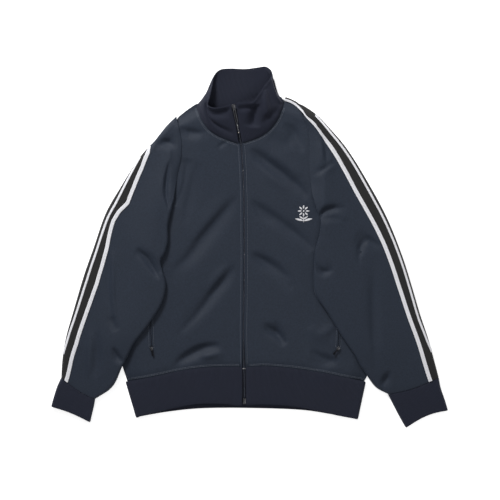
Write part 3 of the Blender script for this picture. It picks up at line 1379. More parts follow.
def make_stripes(side, name, grid, square):
    reaches, centres = (TAPE_LEFT, MIDDLE_LEFT) if side > 0 else (TAPE_RIGHT, MIDDLE_RIGHT)
    tape_rows, inner_rows, middle_rows = TAPE_ROWS[name]
    lift = settings().cloth_thickness * 500 + CLOTH_TOUCH + STRIPE_CLOTH / 2
    over = lift + STRIPE_CLOTH / 2 + BRAID_CLOTH / 2

    def tape_edge(row):
        return tape_reach(reaches, row) + FOLD_RISE_ARC

    def middle_edge(row):
        return tape_reach(centres, row) + MIDDLE_BRAID_WIDTH * 0.55

    def inner_width(row):
        return tape_reach(BRAID_LEFT, row) if side > 0 else BRAID_WIDTH

    def strip_of(edge_of, rows, width_of, lowest, height, crown):
        return tape_strip(grid, square, edge_of, rows, width_of, lowest, height, crown)

    lowest, inner_lowest, middle_lowest = STRIP_LOWEST
    base = strip_of(tape_edge, tape_rows, lambda row: STRIPE_WIDTH, lowest, lift, 0.0)
    inner = strip_of(tape_edge, inner_rows, inner_width, inner_lowest, over, BRAID_CROWN)
    middle = strip_of(
        middle_edge, middle_rows, lambda row: MIDDLE_BRAID_WIDTH, middle_lowest, over, BRAID_CROWN,
    )
    if side > 0:
        blended = len(TAPE_SHOULDER)
        base = smooth_start(shoulder_strip(STRIPE_WIDTH, lift, 0.0) + base, blended)
        inner = smooth_start(shoulder_strip(BRAID_WIDTH * 0.6, over, BRAID_CROWN) + inner, blended)
    made = []
    for kind, strip, thickness, look, slot in (
        ("stripe", base, STRIPE_CLOTH, "tape", "black_tape"),
        ("braid_inner", inner, BRAID_CLOTH, "braid", "white_braid"),
        ("braid_middle", middle, BRAID_CLOTH, "braid", "white_braid"),
    ):
        sheet = np.array(strip)
        sheet[..., 2] = np.maximum(sheet[..., 2], thickness / 2)
        sheets = [(sheet, facing(sheet), thickness, arc_map(sheet))]
        piece = cloth_piece(f"{name}_{kind}", sheets, look, slot)
        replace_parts(piece, f"{kind}_{name}")
        made.append((piece, sheets))
    (tape, sheets), *braids = made
    declare(sheets)


def make_collar():
    columns = []
    for row in COLLAR:
        x, y = row.foot
        below = {"front": front_top(x, y), "edge": EDGE_LEVEL + 1, "back": JERSEY}[row.layer]
        columns.append((x, y, float(below) + LAP_GAP + RIB / 2, *row.middle, *row.rim))
    sections, steps = COLLAR_FINE
    values = flow(columns, np.linspace(0, len(COLLAR) - 1, sections))
    foot, middle, rim = values[:, 0:3], values[:, 3:6], values[:, 6:9]
    part = np.linspace(0, 1, steps)[:, None, None]
    grid = (1 - part) * (1 - 2 * part) * foot + 4 * part * (1 - part) * middle + part * (2 * part - 1) * rim
    square = facing(grid)
    run = np.linspace(0, COLLAR_LENGTH, sections)[None, :].repeat(steps, axis=0)
    up = np.linspace(0, COLLAR_HEIGHT, steps)[:, None].repeat(sections, axis=1)
    fade = ease(up / 12) * ease(run / 10) * ease((COLLAR_LENGTH - run) / 10)
    pressed = relief(COLLAR_CREASES, run, up) * settings().crease_depth * fade
    grid = grid + square * pressed[..., None]
    sheets = [(grid, facing(grid), settings().rib_thickness * 1000, arc_map(grid))]
    piece = cloth_piece("collar_rib", sheets, "rib", "navy_rib")
    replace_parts(piece, "collar")
    declare(sheets)


def band_edge(left, behind, right):
    """One edge of the hem band: the left front, the back and the right front."""
    front_steps, back_steps, _ = BAND_FINE
    front, back = np.linspace(0, 1, front_steps), np.linspace(0, 1, back_steps)
    turns = np.radians(np.linspace(90, -90, 17)[1:-1])
    middle = (BAND_LEVEL + RIB / 2) / 2
    left = along(left, front)
    right = along(right, front)[::-1]
    behind = along(behind, back)
    left = left[left[:, 0] < left[-1, 0] - BAND_FOLD - 1]
    right = right[right[:, 0] > right[0, 0] + BAND_FOLD + 1]
    fold = []
    for corner, side, order in ((behind[0], 1, turns), (behind[-1], -1, turns[::-1])):
        for turn in order:
            x, y = corner
            x = x - side * BAND_FOLD * (1 - np.cos(turn))
            fold.append((x, y, middle + (BAND_LEVEL - middle) * np.sin(turn)))
    half = len(turns)
    behind = behind[1:-1]
    return np.vstack([
        np.column_stack([left, np.full(len(left), BAND_LEVEL)]),
        fold[:half],
        np.column_stack([behind, np.full(len(behind), RIB / 2)]),
        fold[half:],
        np.column_stack([right, np.full(len(right), BAND_LEVEL)]),
    ])


def resampled(points, count):
    """The same line with a given number of points, evenly apart."""
    length = lengths(points)
    return at_lengths(np.linspace(0, length[-1], count), length, points)


def make_band():
    seam = band_edge(BAND_SEAM_LEFT, BAND_SEAM_BACK, BAND_SEAM_RIGHT)
    hem = band_edge(BAND_EDGE_LEFT, BAND_EDGE_BACK, BAND_EDGE_RIGHT)
    count = max(len(seam), len(hem)) + 60
    seam, hem = resampled(seam, count), resampled(hem, count)
    part = np.linspace(0, 1, BAND_FINE[2])[:, None, None]
    grid = seam[None] * (1 - part) + hem[None] * part
    square = facing(grid)
    square *= np.sign(square[:1, :1, 2:] + 1e-9)
    top = ease((grid[..., 2] - 6) / 4)
    x = grid[..., 0]
    gathers = 0.30 * np.sin(x / 3.1 + 1.3 * np.sin(x / 17)) + 0.22 * np.sin(x / 7.3)
    wave = 0.35 * np.sin(x / 33 + 0.8) + 0.25 * np.sin(x / 19)
    uneven = (gathers * (1 - ease(part[..., 0] / 0.5)) + wave) * top
    grid = grid + square * (uneven * settings().crease_depth * 0.5)[..., None]
    sheets = [(grid, square, settings().rib_thickness * 1000, arc_map(grid))]
    piece = cloth_piece("hem_rib", sheets, "rib", "navy_rib")
    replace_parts(piece, "hem_band")
    declare(sheets)


def make_cuff(name, table):
    rings, half = [], CUFF_FINE[1] // 2
    for place in np.linspace(0, len(table) - 1, CUFF_FINE[0]):
        values = flow([(*row.outer, *row.inner, row.bow, row.level) for row in table], place)
        outer, inner, bow, level = values[0:2], values[2:4], values[4], values[5]
        span = np.linalg.norm(inner - outer)
        across = spread(span, CUFF_FOLD, CUFF_FOLD, half, 8, 8)
        plan = outer + (inner - outer) * (across / span)[:, None]
        plan[:, 1] += bow * np.sin(np.pi * across / span)
        middle = (level + RIB / 2) / 2
        rise = np.minimum(fold_rise(across, CUFF_FOLD), fold_rise(span - across, CUFF_FOLD))
        gathers = 0.25 * np.sin(across / 2.9 + 0.8) * (1 - ease(place / 1.2))
        gathers = gathers + 0.25 * np.sin(across / 13 + 0.5)
        upper = np.column_stack([plan, middle + (level + gathers - middle) * rise])
        lower = np.column_stack([plan, middle + (RIB / 2 - middle) * rise])[::-1]
        rings.append(np.vstack([[*outer, middle], upper, [*inner, middle], lower]))
    grid = np.array(rings)
    sheets = [(grid, facing(grid, closed=True), settings().rib_thickness * 1000, arc_map(grid))]
    piece = cloth_piece(f"{name}_cuff", sheets, "rib", "navy_rib", closed=True)
    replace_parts(piece, f"cuff_{name}")
    declare(sheets, closed=True)


# ---------------------------------------------------------------- repeats along a path

REPEAT_INPUTS = {
    "Path": "Geometry", "Shape": "Object", "Spacing": "Float", "Unevenness": "Float", "Seed": "Int",
    "Finish": "Material",
}
REPEAT_NODES = {
    "given": "NodeGroupInput",
    "result": "NodeGroupOutput",
    "line": "GeometryNodeMeshToCurve",
    "points": "GeometryNodeCurveToPoints",
    "level": "FunctionNodeAlignRotationToVector",
    "slope": "FunctionNodeAlignRotationToVector",
    "chance": "FunctionNodeRandomValue",
    "low": "ShaderNodeMath",
    "shape": "GeometryNodeObjectInfo",
    "set_down": "GeometryNodeInstanceOnPoints",
    "real": "GeometryNodeRealizeInstances",
    "coat": "GeometryNodeSetMaterial",
}
Link = namedtuple("Link", "source output target input")
REPEAT_LINKS = (
    Link("given", "Path", "line", "Mesh"),
    Link("line", "Curve", "points", "Curve"),
    Link("given", "Spacing", "points", "Length"),
    Link("points", "Tangent", "level", "Vector"),
    Link("level", "Rotation", "slope", "Rotation"),
    Link("points", "Tangent", "slope", "Vector"),
    Link("given", "Unevenness", "low", 1),
    Link("low", 0, "chance", 2),
    Link("given", "Seed", "chance", "Seed"),
    Link("given", "Shape", "shape", "Object"),
    Link("points", "Points", "set_down", "Points"),
    Link("shape", "Geometry", "set_down", "Instance"),
    Link("slope", "Rotation", "set_down", "Rotation"),
    Link("chance", 1, "set_down", "Scale"),
    Link("set_down", "Instances", "real", "Geometry"),
    Link("real", "Geometry", "coat", "Geometry"),
    Link("given", "Finish", "coat", "Material"),
    Link("coat", "Geometry", "result", "Pieces"),
)


def repeat_tree():
    """Sets copies of a small shape along a path, evenly apart and turned to follow it."""
    tree = bpy.data.node_groups.new("repeat along path", "GeometryNodeTree")
    for name, kind in REPEAT_INPUTS.items():
        tree.interface.new_socket(name=name, in_out="INPUT", socket_type=f"NodeSocket{kind}")
    tree.interface.new_socket(name="Pieces", in_out="OUTPUT", socket_type="NodeSocketGeometry")
    nodes = {name: tree.nodes.new(kind) for name, kind in REPEAT_NODES.items()}
    nodes["points"].mode = "LENGTH"
    nodes["level"].axis, nodes["level"].pivot_axis = "X", "Z"
    nodes["slope"].axis, nodes["slope"].pivot_axis = "X", "Y"
    nodes["chance"].data_type = "FLOAT"
    nodes["chance"].inputs[3].default_value = 1.0
    nodes["low"].operation = "SUBTRACT"
    nodes["low"].inputs[0].default_value = 1.0
    for link in REPEAT_LINKS:
        tree.links.new(nodes[link.source].outputs[link.output], nodes[link.target].inputs[link.input])
    return tree


def repeat_along(name, paths, shape_mesh, spacing, look, slot, unevenness=0.0, seed=1):
    """A piece made of copies of a shape along paths given in millimetres."""
    vertices, edges = [], []
    for path in paths:
        first = len(vertices)
        vertices += [tuple(point) for point in to_world(path)]
        edges += [(first + step, first + step + 1) for step in range(len(path) - 1)]
    lines = bpy.data.meshes.new(name + "_path")
    lines.from_pydata(vertices, edges, [])
    holder = bpy.data.objects.new(name + "_path", lines)
    shape = bpy.data.objects.new(name + "_shape", shape_mesh)
    for made in (holder, shape):
        bpy.context.scene.collection.objects.link(made)
    tree = bpy.data.node_groups.get("repeat along path") or repeat_tree()
    modifier = holder.modifiers.new("repeat", "NODES")
    modifier.node_group = tree
    values = {
        "Shape": shape, "Spacing": spacing * MILLIMETRE, "Unevenness": unevenness, "Seed": seed,
        "Finish": finish_of(look),
    }
    for socket in tree.interface.items_tree:
        if socket.in_out == "INPUT" and socket.name in values:
            modifier[socket.identifier] = values[socket.name]
    bpy.context.view_layer.update()
    depsgraph = bpy.context.evaluated_depsgraph_get()
    mesh = bpy.data.meshes.new_from_object(holder.evaluated_get(depsgraph), depsgraph=depsgraph)
    bpy.data.objects.remove(holder)
    bpy.data.objects.remove(shape)
    mesh.name = name
    if not mesh.polygons:
        raise RuntimeError(f"{name} came out empty")
    return link_piece(name, mesh, finish_of(look), slot)


def stitch_shape(length, width, height):
    """One stitch: a short thread, round across and drawn in at both ends."""
    mesh = bpy.data.meshes.new("stitch")
    rings = ((-0.5, 0.35), (-0.28, 0.9), (0.28, 0.9), (0.5, 0.35))
    turns = np.linspace(0, 2 * np.pi, 7)[:-1]
    vertices = [
        (
            place * length * MILLIMETRE,
            np.cos(turn) * width * size / 2 * MILLIMETRE,
            np.sin(turn) * height * size / 2 * MILLIMETRE,
        )
        for place, size in rings for turn in turns
    ]
    faces = [
        [6 * ring + turn, 6 * ring + (turn + 1) % 6, 6 * ring + 6 + (turn + 1) % 6, 6 * ring + 6 + turn]
        for ring in range(3) for turn in range(6)
    ]
    faces += [[5, 4, 3, 2, 1, 0], [18, 19, 20, 21, 22, 23]]
    mesh.from_pydata(vertices, [], faces)
    turn_outwards(mesh)
    return mesh


def tooth_shape(side):
    """One cast zip tooth: a block with softened edges and a small raised head."""
    mesh = bpy.data.meshes.new("tooth")
    shape = bmesh.new()
    for length, width, height, reach, rise in ((1.2, 2.4, 1.5, 0.45, 0.0), (0.8, 0.9, 0.5, -0.35, 0.9)):
        made = bmesh.ops.create_cube(shape, size=1.0)["verts"]
        for vertex in made:
            x, y, z = vertex.co
            vertex.co = (
                x * length * MILLIMETRE,
                (y * width + side * reach) * MILLIMETRE,
                (z * height + rise) * MILLIMETRE,
            )
    bmesh.ops.bevel(
        shape, geom=list(shape.edges), offset=0.16 * MILLIMETRE, segments=1, profile=0.7, affect="EDGES"
    )
    shape.to_mesh(mesh)
    shape.free()
    return mesh


# ---------------------------------------------------------------- zips

def zip_places(first, last, steps):
    """Points between two rows of the zip's line, at the underside of the cloth."""
    return flow(ZIP_LINE, np.linspace(first, last, steps))


def above_zip(points, rise):
    """The zip's line moved square up from the cloth."""
    run = np.gradient(points, axis=0)
    run = run / np.linalg.norm(run, axis=1, keepdims=True)
    across = np.cross(run, [0, 0, 1])
    across = across / np.linalg.norm(across, axis=1, keepdims=True)
    return points + np.cross(across, run) * rise


def make_zip_tape(name, side):
    place = zip_places(TEETH_START, TEETH_STOP, ZIP_FINE)
    reaches = [side * (TAPE_START + (TAPE_END - TAPE_START) * part) for part in np.linspace(0, 1, 10)]
    grid = np.stack([place + (reach, 0, -TAPE_DROP) for reach in reaches], axis=1)
    sheets = [(grid, facing(grid), ZIP_CLOTH, arc_map(grid))]
    piece = cloth_piece(f"{name}_zip_tape", sheets, "zip_cloth", "zip_cloth")
    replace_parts(piece, f"zip_tape_{name}")
    declare(sheets)


def make_zip_teeth():
    line = above_zip(zip_places(TEETH_START, TEETH_STOP, 260), TEETH_RISE)
    length = lengths(line)
    pitch = settings().tooth_pitch * 1000
    rows = []
    for side, shift in ((1, 0.0), (-1, 0.5)):
        wanted = np.arange(shift * pitch + TEETH_END_GAP, length[-1] - TEETH_END_GAP, pitch)
        path = at_lengths(wanted, length, line)
        rows.append(repeat_along(f"teeth_{side}", [path], tooth_shape(side), pitch, "teeth", "zip_teeth"))
    return join_pieces("zip_teeth", rows)


def join_pieces(name, pieces):
    """One object from several made alike."""
    shape = bmesh.new()
    for piece in pieces:
        shape.from_mesh(piece.data)
    mesh = bpy.data.meshes.new(name)
    shape.to_mesh(mesh)
    shape.free()
    material = pieces[0].data.materials[0]
    slot, body = pieces[0]["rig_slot"], pieces[0]["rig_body"]
    for piece in pieces:
        bpy.data.objects.remove(piece)
    return link_piece(name, mesh, material, slot, body)


def bevel(piece, width):
    modifier = piece.modifiers.new("soft edges", "BEVEL")
    modifier.width = width * MILLIMETRE
    modifier.segments = 2
    modifier.limit_method = "ANGLE"
    modifier.angle_limit = np.radians(28)
    bpy.context.view_layer.update()
    depsgraph = bpy.context.evaluated_depsgraph_get()
    mesh = bpy.data.meshes.new_from_object(piece.evaluated_get(depsgraph), depsgraph=depsgraph)
    piece.modifiers.clear()
    piece.data = mesh
    mesh.shade_smooth()
    mesh.set_sharp_from_angle(angle=np.radians(42))


def frame_matrix(origin, forward, up):
    side = up.cross(forward)
    turn = Matrix((forward, side, up)).transposed().to_4x4()
    return Matrix.Translation(origin) @ turn


def mesh_in_place(name, vertices, faces, matrix):
    """A closed mesh from millimetres in its own frame, set in its place."""
    mesh = bpy.data.meshes.new(name)
    placed = [tuple(matrix @ (Vector(vertex) * MILLIMETRE)) for vertex in vertices]
    mesh.from_pydata(placed, [], faces)
    turn_outwards(mesh)
    return mesh


def block_faces(filled):
    """Outer quads of unit blocks and the corner numbers that they use."""
    numbers, faces = {}, []
    for block in sorted(filled):
        for axis in range(3):
            for step in (0, 1):
                beside = list(block)
                beside[axis] += 2 * step - 1
                if tuple(beside) in filled:
                    continue
                corners = []
                for first, second in ((0, 0), (1, 0), (1, 1), (0, 1)):
                    shift = [first, second]
                    shift.insert(axis, step)
                    corner = tuple(at + move for at, move in zip(block, shift))
                    corners.append(numbers.setdefault(corner, len(numbers)))
                faces.append(corners)
    return numbers, faces


def make_slider(name, size, place, node):
    """A zip slider: a waisted body, open at the sides, with an arch for its pull."""
    half, bar = size.arch_length / 2, size.arch_bar
    xs = (-size.length / 2, -half, -half + bar, 0.0, half - bar, half, size.length / 2)
    inner, wide = size.arch_width / 2, size.width / 2
    ys = (-wide, -wide + 0.9, -inner, inner, wide - 0.9, wide)
    base = -size.clear - size.height
    slot_low, slot_high = base + size.height * 0.34, base + size.height * 0.66
    zs = (base, slot_low, slot_high, -size.clear, size.clear, size.clear + bar)
    filled = {(i, j, k) for i in range(6) for j in range(5) for k in (0, 1, 2)}
    filled -= {(i, j, 1) for i in range(6) for j in (0, 4)}
    filled |= {(1, 2, 3), (4, 2, 3)} | {(i, 2, 4) for i in range(1, 5)}
    numbers, faces = block_faces(filled)
    waist = {0: 0.78, 1: 0.97, 2: 1.0, 3: 0.96, 4: 0.9, 5: 0.84, 6: 0.70}
    vertices = []
    for i, j, k in numbers:
        x, y, z = xs[i], ys[j], zs[k]
        narrow = waist[i] if k < 4 else 1.0
        lean = 0.8 if k == 5 and i in (1, 5) else 1.0
        sunk = 0.35 if k == 3 and j in (0, 5) else 0.0
        vertices.append((x * lean, y * narrow, z - sunk))
    mesh = mesh_in_place(name, vertices, faces, frame_matrix(*place))
    piece = link_piece(name, mesh, finish_of("metal"), "zip_metal")
    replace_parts(piece, node)
    bevel(piece, 0.28)


def tab_outline(length, width, waist, steps, start):
    """Half-widths along a pull tab: rounded ends and a slightly narrower waist."""
    turns = np.linspace(0, np.pi, steps)
    x = start + length / 2 - np.cos(turns) * length / 2
    share = (x - start) / length
    profile = np.clip(1 - np.abs(2 * share - 1) ** 7, 0, 1) ** 0.5
    half = width / 2 * profile * (1 - waist * np.sin(np.pi * np.clip(share * 1.2, 0, 1)) ** 2)
    return np.column_stack([x, np.maximum(half, 0.02)])


def make_tab(name, size, place, body, look="metal"):
    """A pull tab: a pressed plate with an eye at its hinge end."""
    steps = 15
    loops = []
    for line in (
        tab_outline(size.length, size.width, 0.14, steps, -size.eye_bar),
        tab_outline(size.eye_length, size.eye_width, 0.0, steps, size.eye_bar),
    ):
        loops.append(np.vstack([line, (line * (1, -1))[::-1][1:-1]]))
    count, slope = len(loops[0]), size.tip_drop / size.length
    vertices, faces = [], []
    for rise in (size.thickness / 2, -size.thickness / 2):
        for loop in loops:
            level = rise - np.maximum(loop[:, 0], 0) * slope
            vertices += np.column_stack([loop, level]).tolist()
    for n in range(count):
        m = (n + 1) % count
        faces += [[n, m, count + m, count + n], [2 * count + n, 3 * count + n, 3 * count + m, 2 * count + m]]
        faces += [[n, 2 * count + n, 2 * count + m, m], [count + n, count + m, 3 * count + m, 3 * count + n]]
    mesh = mesh_in_place(name, vertices, faces, frame_matrix(*place))
    piece = link_piece(name, mesh, finish_of(look), "zip_metal", body)
    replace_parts(piece, body)
    bevel(piece, 0.16)


def make_tab_panel(name, size, place, body):
    """The dark enamel let into a pull tab, inside its bright rim."""
    start, rim = size.eye_length + 2.2, 1.15
    line = tab_outline(size.length - size.eye_bar - start - 1.2, size.width - 2 * rim, 0.14, 15, start)
    loop = np.vstack([line, (line * (1, -1))[::-1][1:-1]])
    count, slope = len(loop), size.tip_drop / size.length
    vertices, faces = [], []
    for rise in (size.thickness / 2 + 0.12, size.thickness / 2 - 0.2):
        vertices += np.column_stack([loop, rise - np.maximum(loop[:, 0], 0) * slope]).tolist()
    faces += [list(range(count)), list(range(2 * count - 1, count - 1, -1))]
    faces += [[n, count + n, count + (n + 1) % count, (n + 1) % count] for n in range(count)]
    mesh = mesh_in_place(name, vertices, faces, frame_matrix(*place))
    link_piece(name, mesh, finish_of("dark_metal"), "zip_metal", body)


def main_slider_place():
    """Hinge point and directions of the main slider: x points down the zip."""
    here, below = zip_places(SLIDER_PLACE, SLIDER_PLACE - 0.5, 2)
    forward = Vector(below - here).normalized()
    across = Vector((0, 0, 1)).cross(forward).normalized()
    up = forward.cross(across)
    origin = Vector(here) + up * (TEETH_RISE + MAIN_SLIDER.height / 2 + MAIN_SLIDER.clear)
    return Vector(to_world(origin)), forward, up


def pocket_place(pocket):
    """Hinge point and directions of a pocket slider, lying on its front."""
    x, y = pocket.bottom
    forward = Vector((*pocket.pull, 0.0)).normalized()
    rest = max(front_top(x + reach * forward.x, y + reach * forward.y) for reach in (-5, 0, 5, 10, 17))
    height = rest + SEAM_GAP + POCKET_SLIDER.height + POCKET_SLIDER.clear
    return Vector(to_world((x, y, height))), forward, Vector((0, 0, 1))


def make_zip_box():
    """The box at the zip's foot: two pins held in a small cast block."""
    x, _, under = ZIP_LINE[0]
    origin = Vector(to_world((x, ZIP_BOX_TOP - ZIP_BOX_LENGTH / 2, under + TEETH_RISE)))
    wide, long, high = ZIP_BOX_WIDTH / 2, ZIP_BOX_LENGTH / 2, ZIP_BOX_HEIGHT / 2
    xs = (-long, -long + 2.6, long - 3.0, long)
    ys = (-wide, -0.7, 0.7, wide)
    zs = (-high, high - 0.7, high)
    filled = {(i, j, 0) for i in range(3) for j in range(3)}
    filled |= {(0, j, 1) for j in range(3)} | {(2, 0, 1), (2, 2, 1)}
    numbers, faces = block_faces(filled)
    vertices = [(xs[i], ys[j], zs[k]) for i, j, k in numbers]
    matrix = frame_matrix(origin, Vector((0, -1, 0)), Vector((0, 0, 1)))
    mesh = mesh_in_place("zip_foot", vertices, faces, matrix)
    piece = link_piece("zip_foot", mesh, finish_of("metal"), "zip_metal")
    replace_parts(piece, "zip_box")
    bevel(piece, 0.3)


def make_pocket(name, pocket):
    """A pocket slit: two narrow cloth lips with a closed coil zip between them."""
    steps, share = (np.linspace(0, 1, count) for count in LIP_FINE)
    foot = np.array(pocket.bottom) + (0, POCKET_ZIP_END)
    line = np.array(pocket.top) * (1 - steps[:, None]) + foot * steps[:, None]
    ends = np.sin(np.pi * np.clip(steps, 0.004, 0.996)) ** 0.12
    sheets = []
    for side in (-1, 1):
        offsets = side * (POCKET_GAP + (POCKET_WIDTH / 2 - POCKET_GAP) * share)
        plan = line[:, None, :] + np.stack([offsets, np.zeros(len(share))], axis=-1)[None]
        crown = LIP_CROWN * np.sin(np.pi * share) ** 0.7 * ends[:, None]
        level = front_face(plan[..., 0], plan[..., 1]) + POCKET_LIFT + crown
        grid = np.concatenate([plan, level[..., None]], axis=-1)
        sheets.append((grid, facing(grid), LIP_CLOTH, arc_map(grid)))
    mesh = cloth_mesh(f"{name}_pocket_lips", sheets)
    lips = link_piece(f"{name}_pocket_lips", mesh, finish_of("jersey"), "navy_jersey")
    coil = np.column_stack([line, front_face(line[:, 0], line[:, 1]) + POCKET_LIFT])
    repeat_along(
        f"{name}_pocket_coil", [coil], stitch_shape(*COIL_STITCH), COIL_PITCH, "dark_metal", "zip_teeth",
    )
    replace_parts(lips, f"pocket_zip_{name}")
    place = pocket_place(pocket)
    make_slider(f"{name}_pocket_slide", POCKET_SLIDER, place, f"pocket_slider_{name}")
    make_tab(f"{name}_pocket_tab", POCKET_PULL, place, f"pocket_pull_{name}", "dark_metal")


# ---------------------------------------------------------------- sewing

def beside_path(points, offset):
    """A line of places moved square to itself on the sheet."""
    fine = along(points, np.linspace(0, 1, 120))
    run = np.gradient(fine, axis=0)
    run = run / np.linalg.norm(run, axis=1, keepdims=True)
    return fine + np.column_stack([-run[:, 1], run[:, 0]]) * offset


SEAM_CLEAR = 5.0
NECK_ROWS = (3.6, 6.0)
NECK_TOP = 296.0
HEM_ROWS = (3.2, 5.6)
POCKET_ROW = 1.6
THREAD_RISE = 0.12
ZIP_THREAD_RISE = 0.05


def on_fronts(plan, rise=THREAD_RISE):
    return np.column_stack([plan, front_face(plan[:, 0], plan[:, 1]) + rise])


def sew(name, paths):
    sizes = settings()
    length = sizes.stitch_length * 1000
    thread = sizes.thread_width * 1000
    shape = stitch_shape(length * 0.78, thread, thread * 0.8)
    repeat_along(name, paths, shape, length, "thread", "navy_jersey", unevenness=0.12, seed=7)


def neck_paths():
    """Two rows round the neck, on the fronts just outside the collar's foot."""
    paths = []
    for layer_side in (1, -1):
        feet = [row.foot for row in COLLAR if row.layer != "back"]
        feet = [foot for foot in feet if (foot[0] + 20) * layer_side > -2]
        feet = sorted(feet, key=lambda foot: foot[1])
        for offset in NECK_ROWS:
            line = beside_path(feet, -offset * layer_side)
            kept = (line[:, 1] < NECK_TOP) & (zip_distance(line[:, 0], line[:, 1]) > SEAM_CLEAR)
            paths.append(on_fronts(line[kept]))
    return paths


def hem_paths():
    """Two rows along each front just above the hem band."""
    paths = []
    for seam, side in ((BAND_SEAM_RIGHT, -1), (BAND_SEAM_LEFT, 1)):
        for offset in HEM_ROWS:
            line = beside_path(seam, offset * side)
            kept = zip_distance(line[:, 0], line[:, 1]) > SEAM_CLEAR
            paths.append(on_fronts(line[kept][3:-3]))
    return paths


def zip_paths():
    """One row beside each front's zip edge."""
    paths = []
    for side in (1, -1):
        y = np.linspace(214, -250, 160)
        x = np.interp(y, [row.y for row in ZIP_LINE], [row.x for row in ZIP_LINE]) + side * ZIP_FACING
        paths.append(on_fronts(np.column_stack([x, y]), ZIP_THREAD_RISE))
    return paths


def pocket_paths():
    """A row round each pocket slit."""
    paths = []
    for pocket in (POCKET_LEFT, POCKET_RIGHT):
        top, foot = np.array(pocket.top), np.array(pocket.bottom) + (0, POCKET_ZIP_END)
        wide = POCKET_WIDTH / 2 + POCKET_ROW
        corners = [top + (-wide, 3), foot + (-wide, -3), foot + (wide, -3), top + (wide, 3), top + (-wide, 3)]
        line = np.concatenate([
            np.linspace(start, end, 40)[:-1] for start, end in zip(corners[:-1], corners[1:])
        ])
        paths.append(on_fronts(line))
    return paths


# ---------------------------------------------------------------- embroidery

SPRIG_CENTRE = (115.0, 76.0)
SATIN_CLOTH = 0.3
SATIN_LIFT = 0.1
Blade = namedtuple("Blade", "start length width height")
PETALS = 8
PETAL = Blade(4.2, 8.6, 3.2, 0.75)
HEART_TURNS = (0, 60, 120)
HEART = Blade(-2.2, 4.4, 1.8, 0.9)
# Four leaves and the stem: how far above the daisy's centre each starts, its turn,
# its length and its width.
Leaf = namedtuple("Leaf", "above turn length width")
LEAVES = (
    Leaf(-21.0, 166, 19.0, 4.4),
    Leaf(-21.0, 14, 19.0, 4.4),
    Leaf(-17.5, 146, 11.0, 3.2),
    Leaf(-17.5, 34, 11.0, 3.2),
    Leaf(-12.5, -90, 12.0, 1.6),
)
LEAF_HEIGHT = 0.65


def heading(turn):
    return np.array([np.cos(np.radians(turn)), np.sin(np.radians(turn))])


def blade_sheet(start, turn, length, width, height):
    """One embroidered petal or leaf, crowned along its middle."""
    along_it, across_it = np.linspace(0, 1, 15), np.linspace(-1, 1, 9)
    way = heading(turn)
    side = np.array([-way[1], way[0]])
    half = np.maximum(width / 2 * np.sin(np.pi * along_it) ** 0.75, 0.12)
    plan = (
        start + along_it[:, None, None] * length * way
        + across_it[None, :, None] * half[:, None, None] * side
    )
    ends = np.sin(np.pi * np.clip(along_it, 0.04, 0.96))[:, None] ** 0.5
    crown = np.sqrt(1 - 0.92 * across_it**2)[None, :] * ends
    level = front_face(plan[..., 0], plan[..., 1]) + SATIN_LIFT + height * crown
    grid = np.concatenate([plan, level[..., None]], axis=-1)
    return grid, facing(grid), SATIN_CLOTH, arc_map(grid)


def make_sprig():
    """A small embroidered daisy on a short stem between two pairs of leaves."""
    centre = np.array(SPRIG_CENTRE)
    turns = [(PETAL, 90 + 360 / PETALS * petal) for petal in range(PETALS)]
    turns += [(HEART, turn) for turn in HEART_TURNS]
    sheets = [
        blade_sheet(centre + heading(turn) * blade.start, turn, blade.length, blade.width, blade.height)
        for blade, turn in turns
    ]
    for leaf in LEAVES:
        sheets.append(blade_sheet(centre + (0, leaf.above), leaf.turn, leaf.length, leaf.width, LEAF_HEIGHT))
    link_piece("chest_sprig", cloth_mesh("chest_sprig", sheets), finish_of("satin"), "white_braid")


# ---------------------------------------------------------------- stage

FLOOR_HALF = 4.0
FLOOR_LEVEL = -0.0004
KEY_PLACE, KEY_SIZE = (-1.15, 2.35, 1.75), 0.8
FILL_PLACE, FILL_SIZE = (1.2, -0.6, 2.6), 2.2
CLOTH_HEIGHT = 0.012
VIEW_CENTRE = (0.0, -7.5, 0.0)


def area_light(name, place, size, power):
    """A round lamp aimed at the jacket's middle."""
    lamp = bpy.data.lights.new(name, "AREA")
    lamp.shape = "DISK"
    lamp.size = size
    lamp.energy = power
    holder = bpy.data.objects.new(name, lamp)
    bpy.context.scene.collection.objects.link(holder)
    holder.location = place
    holder.rotation_euler = (-Vector(place)).to_track_quat("-Z", "Y").to_euler()


def make_stage():
    scene = bpy.context.scene
    mesh = bpy.data.meshes.new("floor")
    corners = [(x * FLOOR_HALF, y * FLOOR_HALF, FLOOR_LEVEL) for x, y in ((-1, -1), (1, -1), (1, 1), (-1, 1))]
    mesh.from_pydata(corners, [], [(0, 1, 2, 3)])
    floor = bpy.data.objects.new("floor", mesh)
    scene.collection.objects.link(floor)
    mesh.materials.append(finish_of("floor"))

    world = bpy.data.worlds.new("studio")
    world.use_nodes = True
    background = world.node_tree.nodes["Background"]
    background.inputs["Color"].default_value = (1.0, 1.0, 1.0, 1.0)
    background.inputs["Strength"].default_value = scene.jacket_stage.sky
    scene.world = world

    area_light("key", KEY_PLACE, KEY_SIZE, scene.jacket_stage.key)
    area_light("fill", FILL_PLACE, FILL_SIZE, scene.jacket_stage.fill)

    lens = bpy.data.cameras.new("camera")
    lens.sensor_width = 36.0
    lens.lens = lens.sensor_width * scene.jacket_stage.camera_height / scene.jacket_stage.view_width
    lens.clip_end = 50.0
    camera = bpy.data.objects.new("camera", lens)
    scene.collection.objects.link(camera)
    across, up = to_world(VIEW_CENTRE)[:2]
    camera.location = (across, up, scene.jacket_stage.camera_height + CLOTH_HEIGHT)
    scene.camera = camera
    scene.view_settings.view_transform = "Standard"


# ---------------------------------------------------------------- add-on

def size_value(name, description, default, **limits):
    return bpy.props.FloatProperty(
        name=name, description=description, default=default, subtype="DISTANCE", unit="LENGTH", precision=4,
        **limits,
    )


